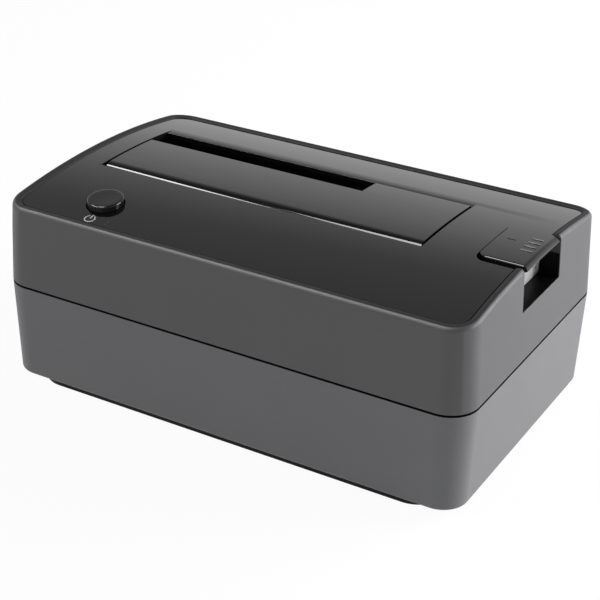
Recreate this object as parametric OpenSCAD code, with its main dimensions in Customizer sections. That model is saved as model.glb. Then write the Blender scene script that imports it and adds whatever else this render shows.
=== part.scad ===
// Single-bay dock for 3.5 inch and 2.5 inch drives: a two-half case with a crowned gloss top,
// a sprung bay flap, a power button, and an eject key that lifts the drive off its connector.
// Millimetres. X runs along the front, Y to the back, Z up.
// The origin lies on the table, under the middle of the case.

/* [Case] */
// Width of the case at the seam, its widest section
case_w = 145; // [140:1:165]
// Depth of the case at the seam
case_d = 90; // [88:1:105]
// Height of the seam between the two halves
seam_z = 31; // [29:0.5:33]
// Height of the highest line of the crowned top
crest_z = 58.5; // [57:0.5:68]
// Radius of the top's crown, which curves from front to back
crown_r = 250; // [220:10:400]
// Radius of the upright corners at the seam
corner_r = 8.5; // [7.5:0.5:11]
// How far the top edge of the upper half lies inside the seam
top_inset = 1.25; // [0.75:0.25:2]
// How far the bottom edge of the lower half lies inside the seam
bottom_inset = 1; // [0.5:0.25:1.5]
// Wall thickness of both halves
case_wall = 2.2; // [2:0.1:2.6]
// Rounding along the outer edge of the rim
lip_r = 1.3; // [0.8:0.1:1.8]
// Rounding along the bottom edge
base_r = 1; // [0.5:0.25:1.5]
// Height of the shadow gap at the seam
seam_gap = 0.5; // [0.3:0.1:0.8]
// Height of the tongue that locates the upper half on the lower
tongue_h = 1.6; // [1:0.2:2.4]
// Thickness of that tongue
tongue_t = 1; // [0.8:0.1:1.2]

/* [Top] */
// Width of the matte rim round the top plate
rim_w = 2.9; // [2.5:0.1:4]
// How far the rim stands above the top plate
rim_h = 0.7; // [0.4:0.1:1]
// Width of the groove between the rim and the top plate
plate_gap = 0.5; // [0.2:0.1:0.8]
// Thickness of the gloss top plate
plate_t = 1.8; // [1.4:0.1:2.2]
// Thickness of the deck under the top plate
deck_t = 1.8; // [1.4:0.1:2.2]
// Width of the bevel along the back edge of the bay opening
bevel_w = 1; // [0.6:0.1:1.4]

/* [Base] */
// How far the rubber feet stand below the plinth
foot_drop = 0.4; // [0.3:0.1:0.8]
// Height of the plinth below the case
plinth_h = 1.8; // [1.4:0.1:2.4]
// How far the plinth lies inside the bottom edge at the front and back
plinth_inset = 1.5; // [1:0.25:3]
// How far the plinth lies inside the bottom edge at the sides
plinth_side = 7; // [5:0.5:7]
// Radius of the plinth's corners
plinth_r = 9; // [6:0.5:9]
// Thickness of the floor above the plinth's underside
floor_t = 2.8; // [2.4:0.1:3.2]
// Diameter of a rubber foot
foot_d = 12; // [8:0.5:14]
// Depth of a foot's recess
foot_recess = 1.2; // [0.8:0.1:1.4]
// Feet: distance of their centres from the middle, along X
foot_x = 46; // [40:1:48]
// Feet: distance of their centres from the middle, along Y
foot_y = 31; // [28:1:32]

/* [Drive bay] */
// Length of the bay opening: a 3.5 inch drive is 101.6 wide
bay_w = 103.5; // [103:0.5:106]
// Depth of the bay opening, from the flap's rolled edge to the back
bay_d = 33.2; // [33:0.2:36]
// Share of the case's spare width that lies to the left of the bay
bay_share = 0.275; // [0.26:0.005:0.29]
// Distance from the case's back to the bay
bay_back = 22.7; // [22.5:0.1:24]
// Length of the slot for a 2.5 inch drive, which is 69.9 wide
slot_w = 73; // [71.5:0.5:76]
// Depth of that slot
slot_d = 9.3; // [8:0.1:10]
// Wall thickness of the drive well
well_wall = 1.6; // [1.4:0.1:1.8]
// Side play of a 3.5 inch drive at the bay's left end
drive_play = 0.95; // [0.5:0.05:1.2]

/* [Flap] */
// Thickness of the flap
flap_t = 2.2; // [1.8:0.1:2.4]
// Gap round the flap's sides and back
flap_gap = 0.8; // [0.6:0.1:1]
// Radius of the flap's rolled front edge, which turns about the pin
roll_r = 3; // [2.8:0.1:3.2]
// Gap between the rolled edge and the top plate
roll_gap = 0.5; // [0.4:0.05:0.8]
// Diameter of the flap's pin
flap_pin_d = 2; // [1.6:0.1:2.2]
// Running clearance of the pins, on the radius
run_gap = 0.05; // [0.02:0.01:0.08]
// Height of the flap's stiffening ribs
flap_rib_h = 1.6; // [1:0.1:2]

/* [Power button] */
// Diameter of the button
button_d = 11; // [9:0.5:13]
// How far the button stands above the top plate
button_rise = 2.1; // [1.4:0.1:2.4]
// Gap round the button
button_gap = 0.35; // [0.3:0.05:0.6]
// Distance of the button from the case's left side
button_left = 27.2; // [26:0.1:31]
// Distance of the button from the case's front
button_front = 15; // [13:0.1:17]
// Travel of the button
button_travel = 1.5; // [1:0.1:1.8]
// Diameter of the button's stem
stem_d = 5; // [4:0.5:6]

/* [Eject key] */
// Length of the key, from its inner edge to its nose
key_l = 14; // [13:0.5:15]
// Width of the key along the side of the case
key_w = 22; // [20:0.5:24]
// Distance from the key's middle to the back edge of the bay
key_back = 19.3; // [17.5:0.1:20]
// Thickness of the key
key_t = 2.2; // [1.8:0.1:2.6]
// How far the key's top lies below the rim
key_drop = 0.5; // [0.3:0.1:0.7]
// Gap beside and behind the key
key_gap = 0.35; // [0.3:0.05:0.6]
// Gap in front of the key
key_front_gap = 2.5; // [1.5:0.1:3]
// Rounding of the key's nose
nose_r = 1.6; // [1:0.1:1.7]
// Rounding of the key's inner corners
key_corner_r = 2; // [1:0.25:3]
// Travel of the key
key_travel = 4.5; // [3.5:0.1:4.5]
// Depth of the finger pocket below the key's nose
pocket_depth = 5.4; // [4.5:0.1:6]
// Height of the pocket's floor above the seam
pocket_rise = 14.8; // [13:0.2:16]
// Thickness of the pocket's walls
pocket_wall = 1.6; // [1.4:0.1:1.8]
// Thickness of the key's leg, along X
leg_t = 3.4; // [3:0.1:3.8]
// Width of the key's leg, along Y
leg_w = 5; // [4:0.25:5.5]
// Sliding clearance of the leg and other guided pieces
slide_gap = 0.25; // [0.2:0.05:0.35]

/* [Lift rocker] */
// Diameter of the rocker's pin
rocker_pin_d = 3; // [2.4:0.1:3.2]
// Distance from the rocker's pin to the bay's right end
rocker_back = 6.4; // [5:0.2:8]
// Reach of the lifting arm from the pin
lift_reach = 31; // [28:0.5:33]
// Width of the rocker
rocker_w = 11; // [10:0.25:12]
// Distance from the rocker's back side to the bay's back edge
rocker_inset = 3.3; // [3:0.1:3.6]
// Thickness of the rocker's arms
arm_t = 3.2; // [2.8:0.1:3.6]
// Height of the pad that the key's leg presses, above the pin
pad_rise = 8.6; // [8:0.1:10]
// Gap between the leg and the pad at rest
press_gap = 0.3; // [0.2:0.05:0.4]
// Outer diameter of the return spring
coil_d = 6; // [5:0.25:6.5]
// Wire of the springs
wire_d = 0.5; // [0.4:0.05:0.6]
// Curls of the return spring
coil_turns = 5; // [4:1:6]
// Curls of the flap's spring
flap_turns = 5; // [4:1:6]

/* [Board] */
// Gap between the circuit board and the posts on its left
board_gap = 1.2; // [0.6:0.1:1.5]
// Gap between the circuit board and the lifting arm's tip
arm_clear = 6.3; // [5:0.1:7]
// Thickness of the board
board_t = 1.6; // [1.2:0.2:1.6]
// Height of the board above the floor
board_rise = 4.8; // [4.6:0.1:5.2]
// Distance of the board from the case's front and back
board_edge = 4.7; // [4.5:0.1:5.2]
// Height of the drive receptacle above the board
sata_h = 9; // [8.6:0.1:9.4]
// Length of the drive receptacle
sata_w = 42.6; // [42:0.1:43]
// Depth of the drive receptacle
sata_d = 5.8; // [5:0.1:6]
// Drive's side to the middle of its connector
sata_from_side = 30.1; // [29.5:0.1:30.5]
// Drive's underside to the middle of its connector
sata_from_face = 3.5; // [3.3:0.1:3.8]
// How far the receptacle stands above the well's floor
sata_stand = 5.4; // [5:0.1:5.6]
// Distance of the USB port's middle from the case's left side
usb_left = 52.5; // [51:0.5:56]
// Width of the USB port
usb_w = 12; // [11.5:0.1:12.5]
// Height of the USB port
usb_h = 12.2; // [11:0.1:12.4]
// Depth of the USB port
usb_l = 17; // [15:0.5:17]
// Distance of the power jack's middle from the case's left side
jack_left = 30.5; // [29:0.5:33]
// Width of the power jack
jack_w = 9; // [8.5:0.25:10]
// Height of the power jack
jack_h = 11; // [10:0.25:12]
// Depth of the power jack
jack_l = 14; // [12:0.5:15]
// Bore of the power jack
jack_bore = 6.3; // [5.8:0.1:6.6]
// How far the ports' faces lie inside the case's widest section
port_set = 1.5; // [1.2:0.1:2.2]
// Side of the push switch
switch_w = 8.5; // [7:0.25:9]
// Height of the push switch
switch_h = 9; // [8:0.25:10]

/* [Fasteners] */
// Diameter of the case screws
case_screw_d = 3; // [2.6:0.1:3.5]
// Diameter of the board screws and well screws
small_screw_d = 2.2; // [2:0.1:2.6]
// Clearance round screws, on the radius
screw_gap = 0.1; // [0.05:0.05:0.2]

/* [Hidden] */
$fn = 48;

// Far enough to cut right through
far = 2 * case_w;
// Overlap that makes two shapes of one piece a single solid
weld = 0.2;

// Case
left_x = -case_w / 2;
front_y = -case_d / 2;
base_z = foot_drop + plinth_h;
plinth_x = case_w / 2 - bottom_inset - plinth_side;
plinth_y = case_d / 2 - bottom_inset - plinth_inset;
floor_z = foot_drop + floor_t;
plate_drop = rim_h + plate_t;
deck_drop = plate_drop + deck_t;
deck_edge = top_inset + rim_w;
lip_steps = 3;
crown_axis_z = crest_z - crown_r;
post_inset = 12;
post_x = case_w / 2 - post_inset;
post_y = case_d / 2 - post_inset;
post_d = 7;
lower_post_d = post_d + 1;
floor_x = post_x + lower_post_d / 2 + 0.4;

// Drive bay
bay_x0 = left_x + bay_share * (case_w - bay_w);
bay_x1 = bay_x0 + bay_w;
bay_y1 = case_d / 2 - bay_back;
bay_y0 = bay_y1 - bay_d;
slot_x1 = bay_x0 + slot_w;
slot_y0 = bay_y1 - slot_d;
rocker_y1 = bay_y1 - rocker_inset;
rocker_y0 = rocker_y1 - rocker_w;

// Board and what stands on it
board_z = floor_z + board_rise;
board_top = board_z + board_t;
board_x1 = bay_x1 - rocker_back - lift_reach - arm_clear;
board_x0 = -post_x + lower_post_d / 2 + board_gap;
board_d = case_d - 2 * board_edge;
sata_x = bay_x0 + drive_play + sata_from_side;
sata_y = bay_y1 - 0.5 - sata_from_face;
sata_top = board_top + sata_h;
port_y = case_d / 2 - port_set;
usb_x = left_x + usb_left;
jack_x = left_x + jack_left;

// Drive well: its floor lets the receptacle stand through
well_floor = sata_top - sata_stand;
well_under = well_floor - well_wall;
well_top_drop = deck_drop + 1.3;
sata_slot_gap = 0.5;

// Flap
hinge_y = bay_y0 + roll_gap + roll_r;
hinge_z = crown_z(hinge_y, rim_h) - roll_r;
pin_reach = 5;
seat_clear = well_wall + 0.3;
flap_rib_t = 1.2;
flap_rib_y = [hinge_y + roll_r + 5, slot_y0 - 3];
tab_w = 8;
tab_t = 1.6;
tab_reach = 1;
tab_inset = 4;
tab_x = [slot_x1 + tab_inset, bay_x1 - flap_gap - tab_w - tab_inset];
tab_top = crown_z(bay_y1 + tab_reach, deck_drop) - 0.25;
tab_sweep = 10;
tab_notch_z = tab_top - tab_t - tab_sweep;
spring_inset = 16;
spring_x = bay_x1 - spring_inset;
spring_l = 7;
coil_gap = 0.5;
flap_coil_r = flap_pin_d / 2 + coil_gap + wire_d / 2;

// Power button, its switch and its light
button_x = left_x + button_left;
button_y = front_y + button_front;
button_top = crown_z(button_y, rim_h) + button_rise;
cup_z = crown_z(button_y, deck_drop) - 6;
cup_wall = 1.5;
cup_floor = 1.5;
plunger_w = 3.2;
plunger_rise = 4.4;
plunger_top = board_top + switch_h + plunger_rise;
switch_gap = 0.15;
led_x = button_x + 6.4;
led_y = front_y + 6.3;
led_w = 2;
led_h = 1.1;
pipe_d = 2.6;
pipe_tip_d = 1.4;
pipe_boss_d = 5.2;
pipe_boss_z = crown_z(led_y, deck_drop) - 7;

// Eject key and finger pocket
nose_x = case_w / 2 - top_inset - 0.2;
key_x0 = nose_x - key_l;
key_y = bay_y1 - key_back;
key_y0 = key_y - key_w / 2;
key_y1 = key_y + key_w / 2;
hole_x0 = key_x0 - key_gap;
hole_y0 = key_y0 - key_front_gap;
hole_y1 = key_y1 + key_gap;
key_top = crown_z(0, key_drop);
key_under = key_top - key_t - 0.2;
pocket_x = nose_x - pocket_depth;
pocket_z = seam_z + pocket_rise;
pocket_top = key_under - key_travel - 0.3;
leg_x = pocket_x - pocket_wall - slide_gap - leg_t / 2 - 1.6;
leg_y = rocker_y0 + leg_w / 2;
leg_r = leg_t / 2;
skirt_x = pocket_x - pocket_wall - slide_gap;
skirt_z = pocket_top - 1.5;
sleeve_wall = 1.6;
sleeve_z = seam_z + 5;
sleeve_top = skirt_z - key_travel - 0.3;
barb_t = 0.8;
barb_h = 2;

// Lift rocker
pivot_x = bay_x1 - rocker_back;
pivot_z = floor_z + 4.2;
boss_r = rocker_pin_d / 2 + 1.5;
press_arm = leg_x - pivot_x;
pad_z = pivot_z + pad_rise;
leg_end = pad_z + press_gap;
lug_t = 2.5;
lug_gap = 0.3;
finger_w = 5;
finger_l = 4.5;
finger_top = well_floor - 0.6;
slot_play = 0.8;
spring_seat_z = floor_z + 0.1;
spring_top_z = pad_z - arm_t - 0.1;

// Fasteners
post_z = floor_z + 4.8;
screw_head_z = foot_drop + 4.2;
case_head_d = 5.5;
case_head_t = 2;
case_screw_l = 14;
boss_d = 6;
board_hole_x = [board_x0 + 4, board_x1 - 4];
board_hole_y = [-22, 28];
small_head_d = 4.2;
small_head_t = 1.6;
board_screw_l = 5;
ear_w = 8;
ear_inset = 13;
ear_t = 2;
ear_reach = 4.2;
ear_z = tab_notch_z - 1 - ear_t;
ear_x = [bay_x0 + ear_inset, bay_x1 - ear_inset];
ear_y = [bay_y0 - well_wall - ear_reach, bay_y1 + well_wall + ear_reach];
well_screw_l = 7;

// Height of the crowned surface that lies the given depth below the rim's crest
function crown_z(y, drop = 0) = crown_axis_z + sqrt(pow(crown_r - drop, 2) - y * y);

// All that lies below the crowned surface
module crown(drop) {
    translate([0, 0, crown_axis_z])
        rotate([0, 90, 0])
            cylinder(r = crown_r - drop, h = far, center = true, $fn = 360);
}

// The part of a shape that lies between two crowned surfaces
module crowned_layer(top_drop, under_drop) {
    difference() {
        intersection() {
            children();
            crown(top_drop);
        }
        crown(under_drop);
    }
}

module round_rect(w, d, r) {
    square([w - 2 * r, d], center = true);
    square([w, d - 2 * r], center = true);
    for (x = [-1, 1], y = [-1, 1])
        translate([x * (w / 2 - r), y * (d / 2 - r)])
            circle(r);
}

// Outline of the case, drawn in from its seam by the given amount
module outline(inset) {
    round_rect(case_w - 2 * inset, case_d - 2 * inset, max(corner_r - inset, 1));
}

module prism(z0, z1) {
    translate([0, 0, z0])
        linear_extrude(z1 - z0)
            children();
}

// A box between two corners
module block(low, high) {
    translate(low)
        cube(high - low);
}

// A round bar along X, Y or Z from a starting point
module bar_x(p, d, l) {
    translate(p)
        rotate([0, 90, 0])
            cylinder(d = d, h = l);
}

module bar_y(p, d, l) {
    translate(p)
        rotate([-90, 0, 0])
            cylinder(d = d, h = l);
}

module bar_z(p, d, l) {
    translate(p)
        cylinder(d = d, h = l);
}

// A profile drawn in X and Z, drawn out along Y
module profile_y(y0, y1) {
    translate([0, y1, 0])
        rotate([90, 0, 0])
            linear_extrude(y1 - y0)
                children();
}

// Springs: one unbroken tube of wire along a path, its sides turned about the coil's axis
function unit(v) = v / norm(v);
function along(path, i) = unit(path[min(i + 1, len(path) - 1)] - path[max(i - 1, 0)]);
function least_gap(path, apart) =
    min([for (i = [0:len(path) - 1], j = [i + apart:1:len(path) - 1]) norm(path[i] - path[j])]) - wire_d;

wire_sides = 6;
curl_rings = 8;

module wire(path, axis) {
    last = len(path) - 1;
    rings = [for (i = [0:last])
        let (t = along(path, i), u = unit(cross(t, axis)), v = cross(t, u))
        for (k = [0:wire_sides - 1])
            path[i] + wire_d / 2 * (u * cos(360 * k / wire_sides) + v * sin(360 * k / wire_sides))];
    sides = [for (i = [0:last - 1], k = [0:wire_sides - 1])
        let (a = i * wire_sides + k, b = i * wire_sides + (k + 1) % wire_sides)
        each [[a, a + wire_sides, b], [b, a + wire_sides, b + wire_sides]]];
    start = [for (k = [1:wire_sides - 2]) [0, k, k + 1]];
    tail = last * wire_sides;
    end = [for (k = [1:wire_sides - 2]) [tail, tail + k + 1, tail + k]];
    polyhedron(rings, concat(sides, start, end));
}

// Places of the posts, bosses and feet that come in fours
module at_corners(x, y) {
    for (sx = [-1, 1], sy = [-1, 1])
        translate([sx * x, sy * y, 0])
            children();
}

module at_board_holes() {
    for (x = board_hole_x, y = board_hole_y)
        translate([x, y, 0])
            children();
}

module at_well_ears() {
    for (x = ear_x, y = ear_y)
        translate([x, y, 0])
            children();
}

// Lower half of the case

module lower_skin() {
    hull() {
        prism(seam_z - seam_gap / 2 - weld, seam_z - seam_gap / 2)
            outline(0, $fn = 32);
        for (step = [0:lip_steps])
            let (a = 90 * step / lip_steps)
            prism(base_z + base_r * (1 - sin(a)), base_z + base_r)
                outline(bottom_inset + base_r * (1 - cos(a)), $fn = 32);
    }
}

module tongue() {
    difference() {
        prism(seam_z - 2 * tongue_h, seam_z + tongue_h)
            outline(case_wall - tongue_t);
        prism(seam_z - far, seam_z + far)
            outline(case_wall);
    }
}

// Two lugs carry the rocker's pin
module rocker_lugs() {
    for (y = [rocker_y0 - lug_gap - lug_t, rocker_y1 + lug_gap])
        profile_y(y, y + lug_t) {
            translate([pivot_x - boss_r, floor_z - weld])
                square([2 * boss_r, pivot_z - floor_z + weld]);
            translate([pivot_x, pivot_z])
                circle(boss_r);
        }
}

module port_openings() {
    prism_y = case_d / 2 - 3 * case_wall;
    block([usb_x - usb_w / 2 - slide_gap, prism_y, board_top - slide_gap],
          [usb_x + usb_w / 2 + slide_gap, case_d, board_top + usb_h + slide_gap]);
    block([jack_x - jack_w / 2 - slide_gap, prism_y, board_top - slide_gap],
          [jack_x + jack_w / 2 + slide_gap, case_d, board_top + jack_h + slide_gap]);
}

module lower_shell() {
    color("dimgray")
    difference() {
        union() {
            difference() {
                lower_skin();
                // The floor is a step higher at the ends, where the plinth doesn't back it
                prism(base_z + case_wall, seam_z)
                    outline(case_wall + bottom_inset);
                prism(floor_z, base_z + case_wall + weld)
                    square([2 * floor_x, case_d - 2 * (case_wall + bottom_inset) - 1], center = true);
            }
            prism(foot_drop, base_z + weld / 2)
                round_rect(2 * plinth_x, 2 * plinth_y, plinth_r);
            tongue();
            at_corners(post_x, post_y)
                bar_z([0, 0, floor_z - weld], lower_post_d, post_z - floor_z + weld);
            at_board_holes()
                bar_z([0, 0, floor_z - weld], boss_d, board_rise + weld);
            rocker_lugs();
            bar_z([leg_x, leg_y, floor_z - weld], coil_d - 2 * wire_d - 2 * coil_gap, 2 + weld);
        }
        at_corners(foot_x, foot_y)
            bar_z([0, 0, -weld], foot_d + 2 * screw_gap, foot_drop + foot_recess + weld);
        at_corners(post_x, post_y) {
            bar_z([0, 0, -weld], case_screw_d + 4 * screw_gap, far);
            bar_z([0, 0, -weld], case_head_d + 4 * screw_gap, screw_head_z + weld);
        }
        at_board_holes()
            bar_z([0, 0, floor_z], small_screw_d + 2 * screw_gap, far);
        bar_y([pivot_x, rocker_y0 - 2 * lug_t, pivot_z], rocker_pin_d + 2 * run_gap, rocker_w + 4 * lug_t);
        port_openings();
    }
}

// Upper half of the case

module upper_skin() {
    hull() {
        prism(seam_z + seam_gap / 2, seam_z + seam_gap / 2 + weld)
            outline(0, $fn = 32);
        for (step = [0:lip_steps])
            let (a = 90 * step / lip_steps)
            intersection() {
                prism(seam_z + seam_gap, crest_z)
                    outline(top_inset + lip_r * (1 - cos(a)), $fn = 32);
                crown(lip_r * (1 - sin(a)));
            }
    }
}

// Hole in the deck and the top plate for the eject key, open to the side of the case
module key_hole() {
    front_r = key_corner_r + key_front_gap / 2;
    back_r = key_corner_r + key_gap;
    difference() {
        translate([hole_x0, hole_y0])
            square([far, hole_y1 - hole_y0]);
        translate([hole_x0, hole_y0])
            spandrel(front_r, 1);
        translate([hole_x0, hole_y1])
            spandrel(back_r, -1);
    }
}

// What a round leaves of a square corner; side is 1 where the round lies towards +Y
module spandrel(r, side) {
    difference() {
        square(2 * r, center = true);
        translate([r, side * r])
            circle(r);
    }
}

// The finger pocket's walls, and the sleeve that guides the key's leg behind them
module pocket_walls() {
    block([pocket_x - pocket_wall, hole_y0 - pocket_wall, pocket_z - pocket_wall],
          [case_w / 2 - top_inset - 1, hole_y1 + pocket_wall, crest_z]);
    block([leg_x - leg_t / 2 - slide_gap - sleeve_wall, leg_y - leg_w / 2 - slide_gap - sleeve_wall, sleeve_z],
          [leg_x + leg_t / 2 + slide_gap + sleeve_wall, leg_y + leg_w / 2 + slide_gap + sleeve_wall, sleeve_top]);
    // Rib that ties the sleeve to the side wall and the pocket's floor
    block([leg_x, leg_y - sleeve_wall / 2, sleeve_z],
          [case_w / 2 - top_inset - 1, leg_y + sleeve_wall / 2, sleeve_top]);
}

// Seats under the deck for the ends of the flap's pin
module pin_seats() {
    for (x = [bay_x0 - pin_reach - 1, bay_x1 + seat_clear])
        block([x, hinge_y - 3, hinge_z - 2.6], [x + pin_reach + 1 - seat_clear, hinge_y + 3, crest_z]);
}

// The cup that the button slides in, with a floor that guides its stem
module button_cup() {
    bar_z([button_x, button_y, cup_z - cup_floor], button_d + 2 * button_gap + 2 * cup_wall, crest_z - cup_z);
}

module upper_shell() {
    color("dimgray")
    difference() {
        union() {
            difference() {
                upper_skin();
                intersection() {
                    prism(seam_z, crest_z)
                        outline(case_wall + top_inset);
                    crown(deck_drop);
                }
                prism(seam_z, seam_z + tongue_h + slide_gap)
                    outline(case_wall - tongue_t - slide_gap);
            }
            intersection() {
                crown(deck_drop - deck_t / 2);
                union() {
                    at_corners(post_x, post_y)
                        bar_z([0, 0, post_z], post_d, crest_z - post_z);
                    at_well_ears()
                        bar_z([0, 0, ear_z + ear_t], boss_d, crest_z - ear_z);
                    bar_z([led_x, led_y, pipe_boss_z], pipe_boss_d, far);
                    button_cup();
                    pocket_walls();
                    pin_seats();
                }
            }
        }
        difference() {
            prism(seam_z, far)
                outline(deck_edge);
            crown(plate_drop);
        }
        block([bay_x0, bay_y0, seam_z], [bay_x1, bay_y1, far]);
        bar_z([button_x, button_y, cup_z], button_d + 2 * button_gap, far);
        bar_z([button_x, button_y, 0], stem_d + 2 * slide_gap, far);
        bar_z([led_x, led_y, 0], pipe_d + 2 * screw_gap, far);
        prism(pocket_top, far)
            key_hole();
        block([pocket_x, hole_y0, pocket_z], [case_w, hole_y1, far]);
        block([leg_x - leg_t / 2 - slide_gap, leg_y - leg_w / 2 - slide_gap, 0],
              [leg_x + leg_t / 2 + slide_gap, leg_y + leg_w / 2 + slide_gap, far]);
        for (x = [bay_x0 - pin_reach - run_gap, bay_x1 - weld]) {
            bar_x([x, hinge_y, hinge_z], flap_pin_d + 2 * run_gap, pin_reach + weld + run_gap);
            block([x, hinge_y - flap_pin_d / 2 - run_gap, hinge_z],
                  [x + pin_reach + weld + run_gap, hinge_y + flap_pin_d / 2 + run_gap, far]);
        }
        at_corners(post_x, post_y)
            bar_z([0, 0, post_z - weld], case_screw_d + 2 * screw_gap, case_screw_l);
        at_well_ears()
            bar_z([0, 0, ear_z], small_screw_d + 2 * screw_gap, ear_t + well_screw_l);
    }
}

// Gloss top plate: a crowned inlay with holes for the bay, the button, the key and the light

// The bay's opening, with a bevel along its back edge
module bevelled_bay() {
    edge_z = crown_z(bay_y1, rim_h);
    rise = 4 * bevel_w;
    translate([bay_x0, 0, 0])
        rotate([90, 0, 90])
            linear_extrude(bay_w)
                polygon([[bay_y0, 0], [bay_y1, 0], [bay_y1, edge_z - bevel_w],
                         [bay_y1 + bevel_w + rise, edge_z + rise], [bay_y0, edge_z + rise]]);
}

module top_plate() {
    color([0.06, 0.06, 0.07])
    difference() {
        crowned_layer(rim_h, plate_drop)
            prism(seam_z, far)
                outline(deck_edge + plate_gap);
        bevelled_bay();
        bar_z([button_x, button_y, 0], button_d + 2 * button_gap, far);
        bar_z([led_x, led_y, 0], pipe_tip_d + 2 * screw_gap, far);
        prism(0, far)
            key_hole();
    }
}

// Drive well: an open box with ears for its screws, hung under the deck

module well_ear(x, y) {
    wall_y = y < bay_y0 ? bay_y0 - weld : bay_y1 + weld;
    block([x - ear_w / 2, min(y, wall_y), ear_z], [x + ear_w / 2, max(y, wall_y), ear_z + ear_t]);
    bar_z([x, y, ear_z], ear_w, ear_t);
}

module drive_well() {
    color([0.09, 0.09, 0.1])
    difference() {
        union() {
            intersection() {
                block([bay_x0 - well_wall, bay_y0 - well_wall, well_under],
                      [bay_x1 + well_wall, bay_y1 + well_wall, crest_z]);
                crown(well_top_drop);
            }
            for (x = ear_x, y = ear_y)
                well_ear(x, y);
        }
        block([bay_x0, bay_y0, well_floor], [bay_x1, bay_y1, far]);
        block([sata_x - sata_w / 2 - sata_slot_gap, sata_y - sata_d / 2 - sata_slot_gap, 0],
              [sata_x + sata_w / 2 + sata_slot_gap, sata_y + sata_d / 2 + sata_slot_gap, well_floor + weld]);
        block([pivot_x - lift_reach - slot_play, rocker_y0 - slot_play, 0],
              [pivot_x - 2 * boss_r, rocker_y1 + slot_play, well_floor + weld]);
        for (x = tab_x)
            block([x - slot_play, bay_y1 - weld, tab_notch_z],
                  [x + tab_w + slot_play, bay_y1 + well_wall + weld, far]);
        at_well_ears()
            bar_z([0, 0, 0], small_screw_d + 4 * screw_gap, far);
    }
}

// Flap, its pin and its spring

module flap_plan() {
    polygon([[bay_x0 + flap_gap, hinge_y], [bay_x1 - flap_gap, hinge_y],
             [bay_x1 - flap_gap, bay_y1 - flap_gap], [slot_x1, bay_y1 - flap_gap],
             [slot_x1, slot_y0], [bay_x0 + flap_gap, slot_y0]]);
}

module flap() {
    flap_w = bay_w - 2 * flap_gap;
    color([0.07, 0.07, 0.08])
    difference() {
        union() {
            crowned_layer(rim_h, rim_h + flap_t)
                prism(seam_z, far)
                    flap_plan();
            bar_x([bay_x0 + flap_gap, hinge_y, hinge_z], 2 * roll_r, flap_w);
            for (y = flap_rib_y)
                crowned_layer(rim_h + flap_t - weld, rim_h + flap_t + flap_rib_h)
                    block([bay_x0 + 6, y, seam_z], [bay_x1 - 6, y + flap_rib_t, far]);
            for (x = tab_x) {
                block([x, bay_y1 - flap_gap - 2.5, tab_top - tab_t], [x + tab_w, bay_y1 + tab_reach, tab_top]);
                block([x, bay_y1 - flap_gap - 2.5, tab_top - weld],
                      [x + tab_w, bay_y1 - flap_gap, crown_z(bay_y1, rim_h + flap_t) + weld]);
            }
        }
        bar_x([bay_x0, hinge_y, hinge_z], flap_pin_d + 2 * run_gap, bay_w);
        bar_x([spring_x, hinge_y, hinge_z], 2 * (flap_coil_r + wire_d / 2 + coil_gap / 2), spring_l);
        block([spring_x, hinge_y - roll_r - 1, hinge_z - roll_r - 1],
              [spring_x + spring_l, hinge_y + roll_r + 1, hinge_z]);
    }
}

module flap_pin() {
    color("silver")
        bar_x([bay_x0 - pin_reach, hinge_y, hinge_z], flap_pin_d, bay_w + 2 * pin_reach);
}

// The coil turns about the pin, with one end hooked under the deck and the other under the flap
hook_angle = -97;
push_angle = -72;
hook_l = 5;
push_l = 7;
coil_span = spring_l - 2 * wire_d - 1;
flap_coil_turn = 360 * flap_turns + push_angle - hook_angle;
flap_coil = [for (i = [0:flap_turns * curl_rings])
    let (s = i / (flap_turns * curl_rings), a = hook_angle + flap_coil_turn * s)
    [spring_x + wire_d + 0.5 + coil_span * s, hinge_y + flap_coil_r * cos(a), hinge_z + flap_coil_r * sin(a)]];
flap_wire = concat(
    [flap_coil[0] + hook_l * [0, sin(hook_angle), -cos(hook_angle)]],
    flap_coil,
    [flap_coil[len(flap_coil) - 1] + push_l * [0, -sin(push_angle), cos(push_angle)]]);

module flap_spring() {
    echo(flap_spring_gap = least_gap(flap_wire, curl_rings / 2));
    color("lightsteelblue")
        wire(flap_wire, [1, 0, 0]);
}

// Power button on a long stem that reaches down to the switch

module power_button() {
    r = button_d / 2;
    cap_z = cup_z + button_travel + 0.6;
    dome = 0.5;
    edge = 1;
    barb_z = cup_z - cup_floor - 0.2;
    color([0.05, 0.05, 0.06])
    translate([button_x, button_y, 0])
        difference() {
            rotate_extrude() {
                polygon([[0, plunger_top], [stem_d / 2 - 0.5, plunger_top], [stem_d / 2, plunger_top + 0.5],
                         [stem_d / 2, barb_z - barb_h], [stem_d / 2 + barb_t, barb_z - 0.3],
                         [stem_d / 2 + barb_t, barb_z], [stem_d / 2, barb_z], [stem_d / 2, cap_z],
                         [r, cap_z], [r, button_top - dome - edge], [0, button_top - dome - edge]]);
                translate([0, button_top - dome - edge])
                    square([r - edge, edge]);
                intersection() {
                    translate([r - edge, button_top - dome - edge])
                        circle(edge);
                    translate([0, button_top - dome - edge])
                        square([r, 2 * edge]);
                }
                intersection() {
                    translate([0, button_top - (r * r / dome + dome) / 2])
                        circle((r * r / dome + dome) / 2, $fn = 360);
                    translate([0, button_top - dome])
                        square([r - edge, dome]);
                }
            }
            // Relief that lets the barbs spring in through the cup's floor
            block([-0.6, -r, plunger_top + 6], [0.6, r, barb_z + 1]);
        }
}

module switch_plunger() {
    color("white")
        block([button_x - plunger_w / 2, button_y - plunger_w / 2, board_top + switch_h - 0.6],
              [button_x + plunger_w / 2, button_y + plunger_w / 2, plunger_top]);
}

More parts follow.
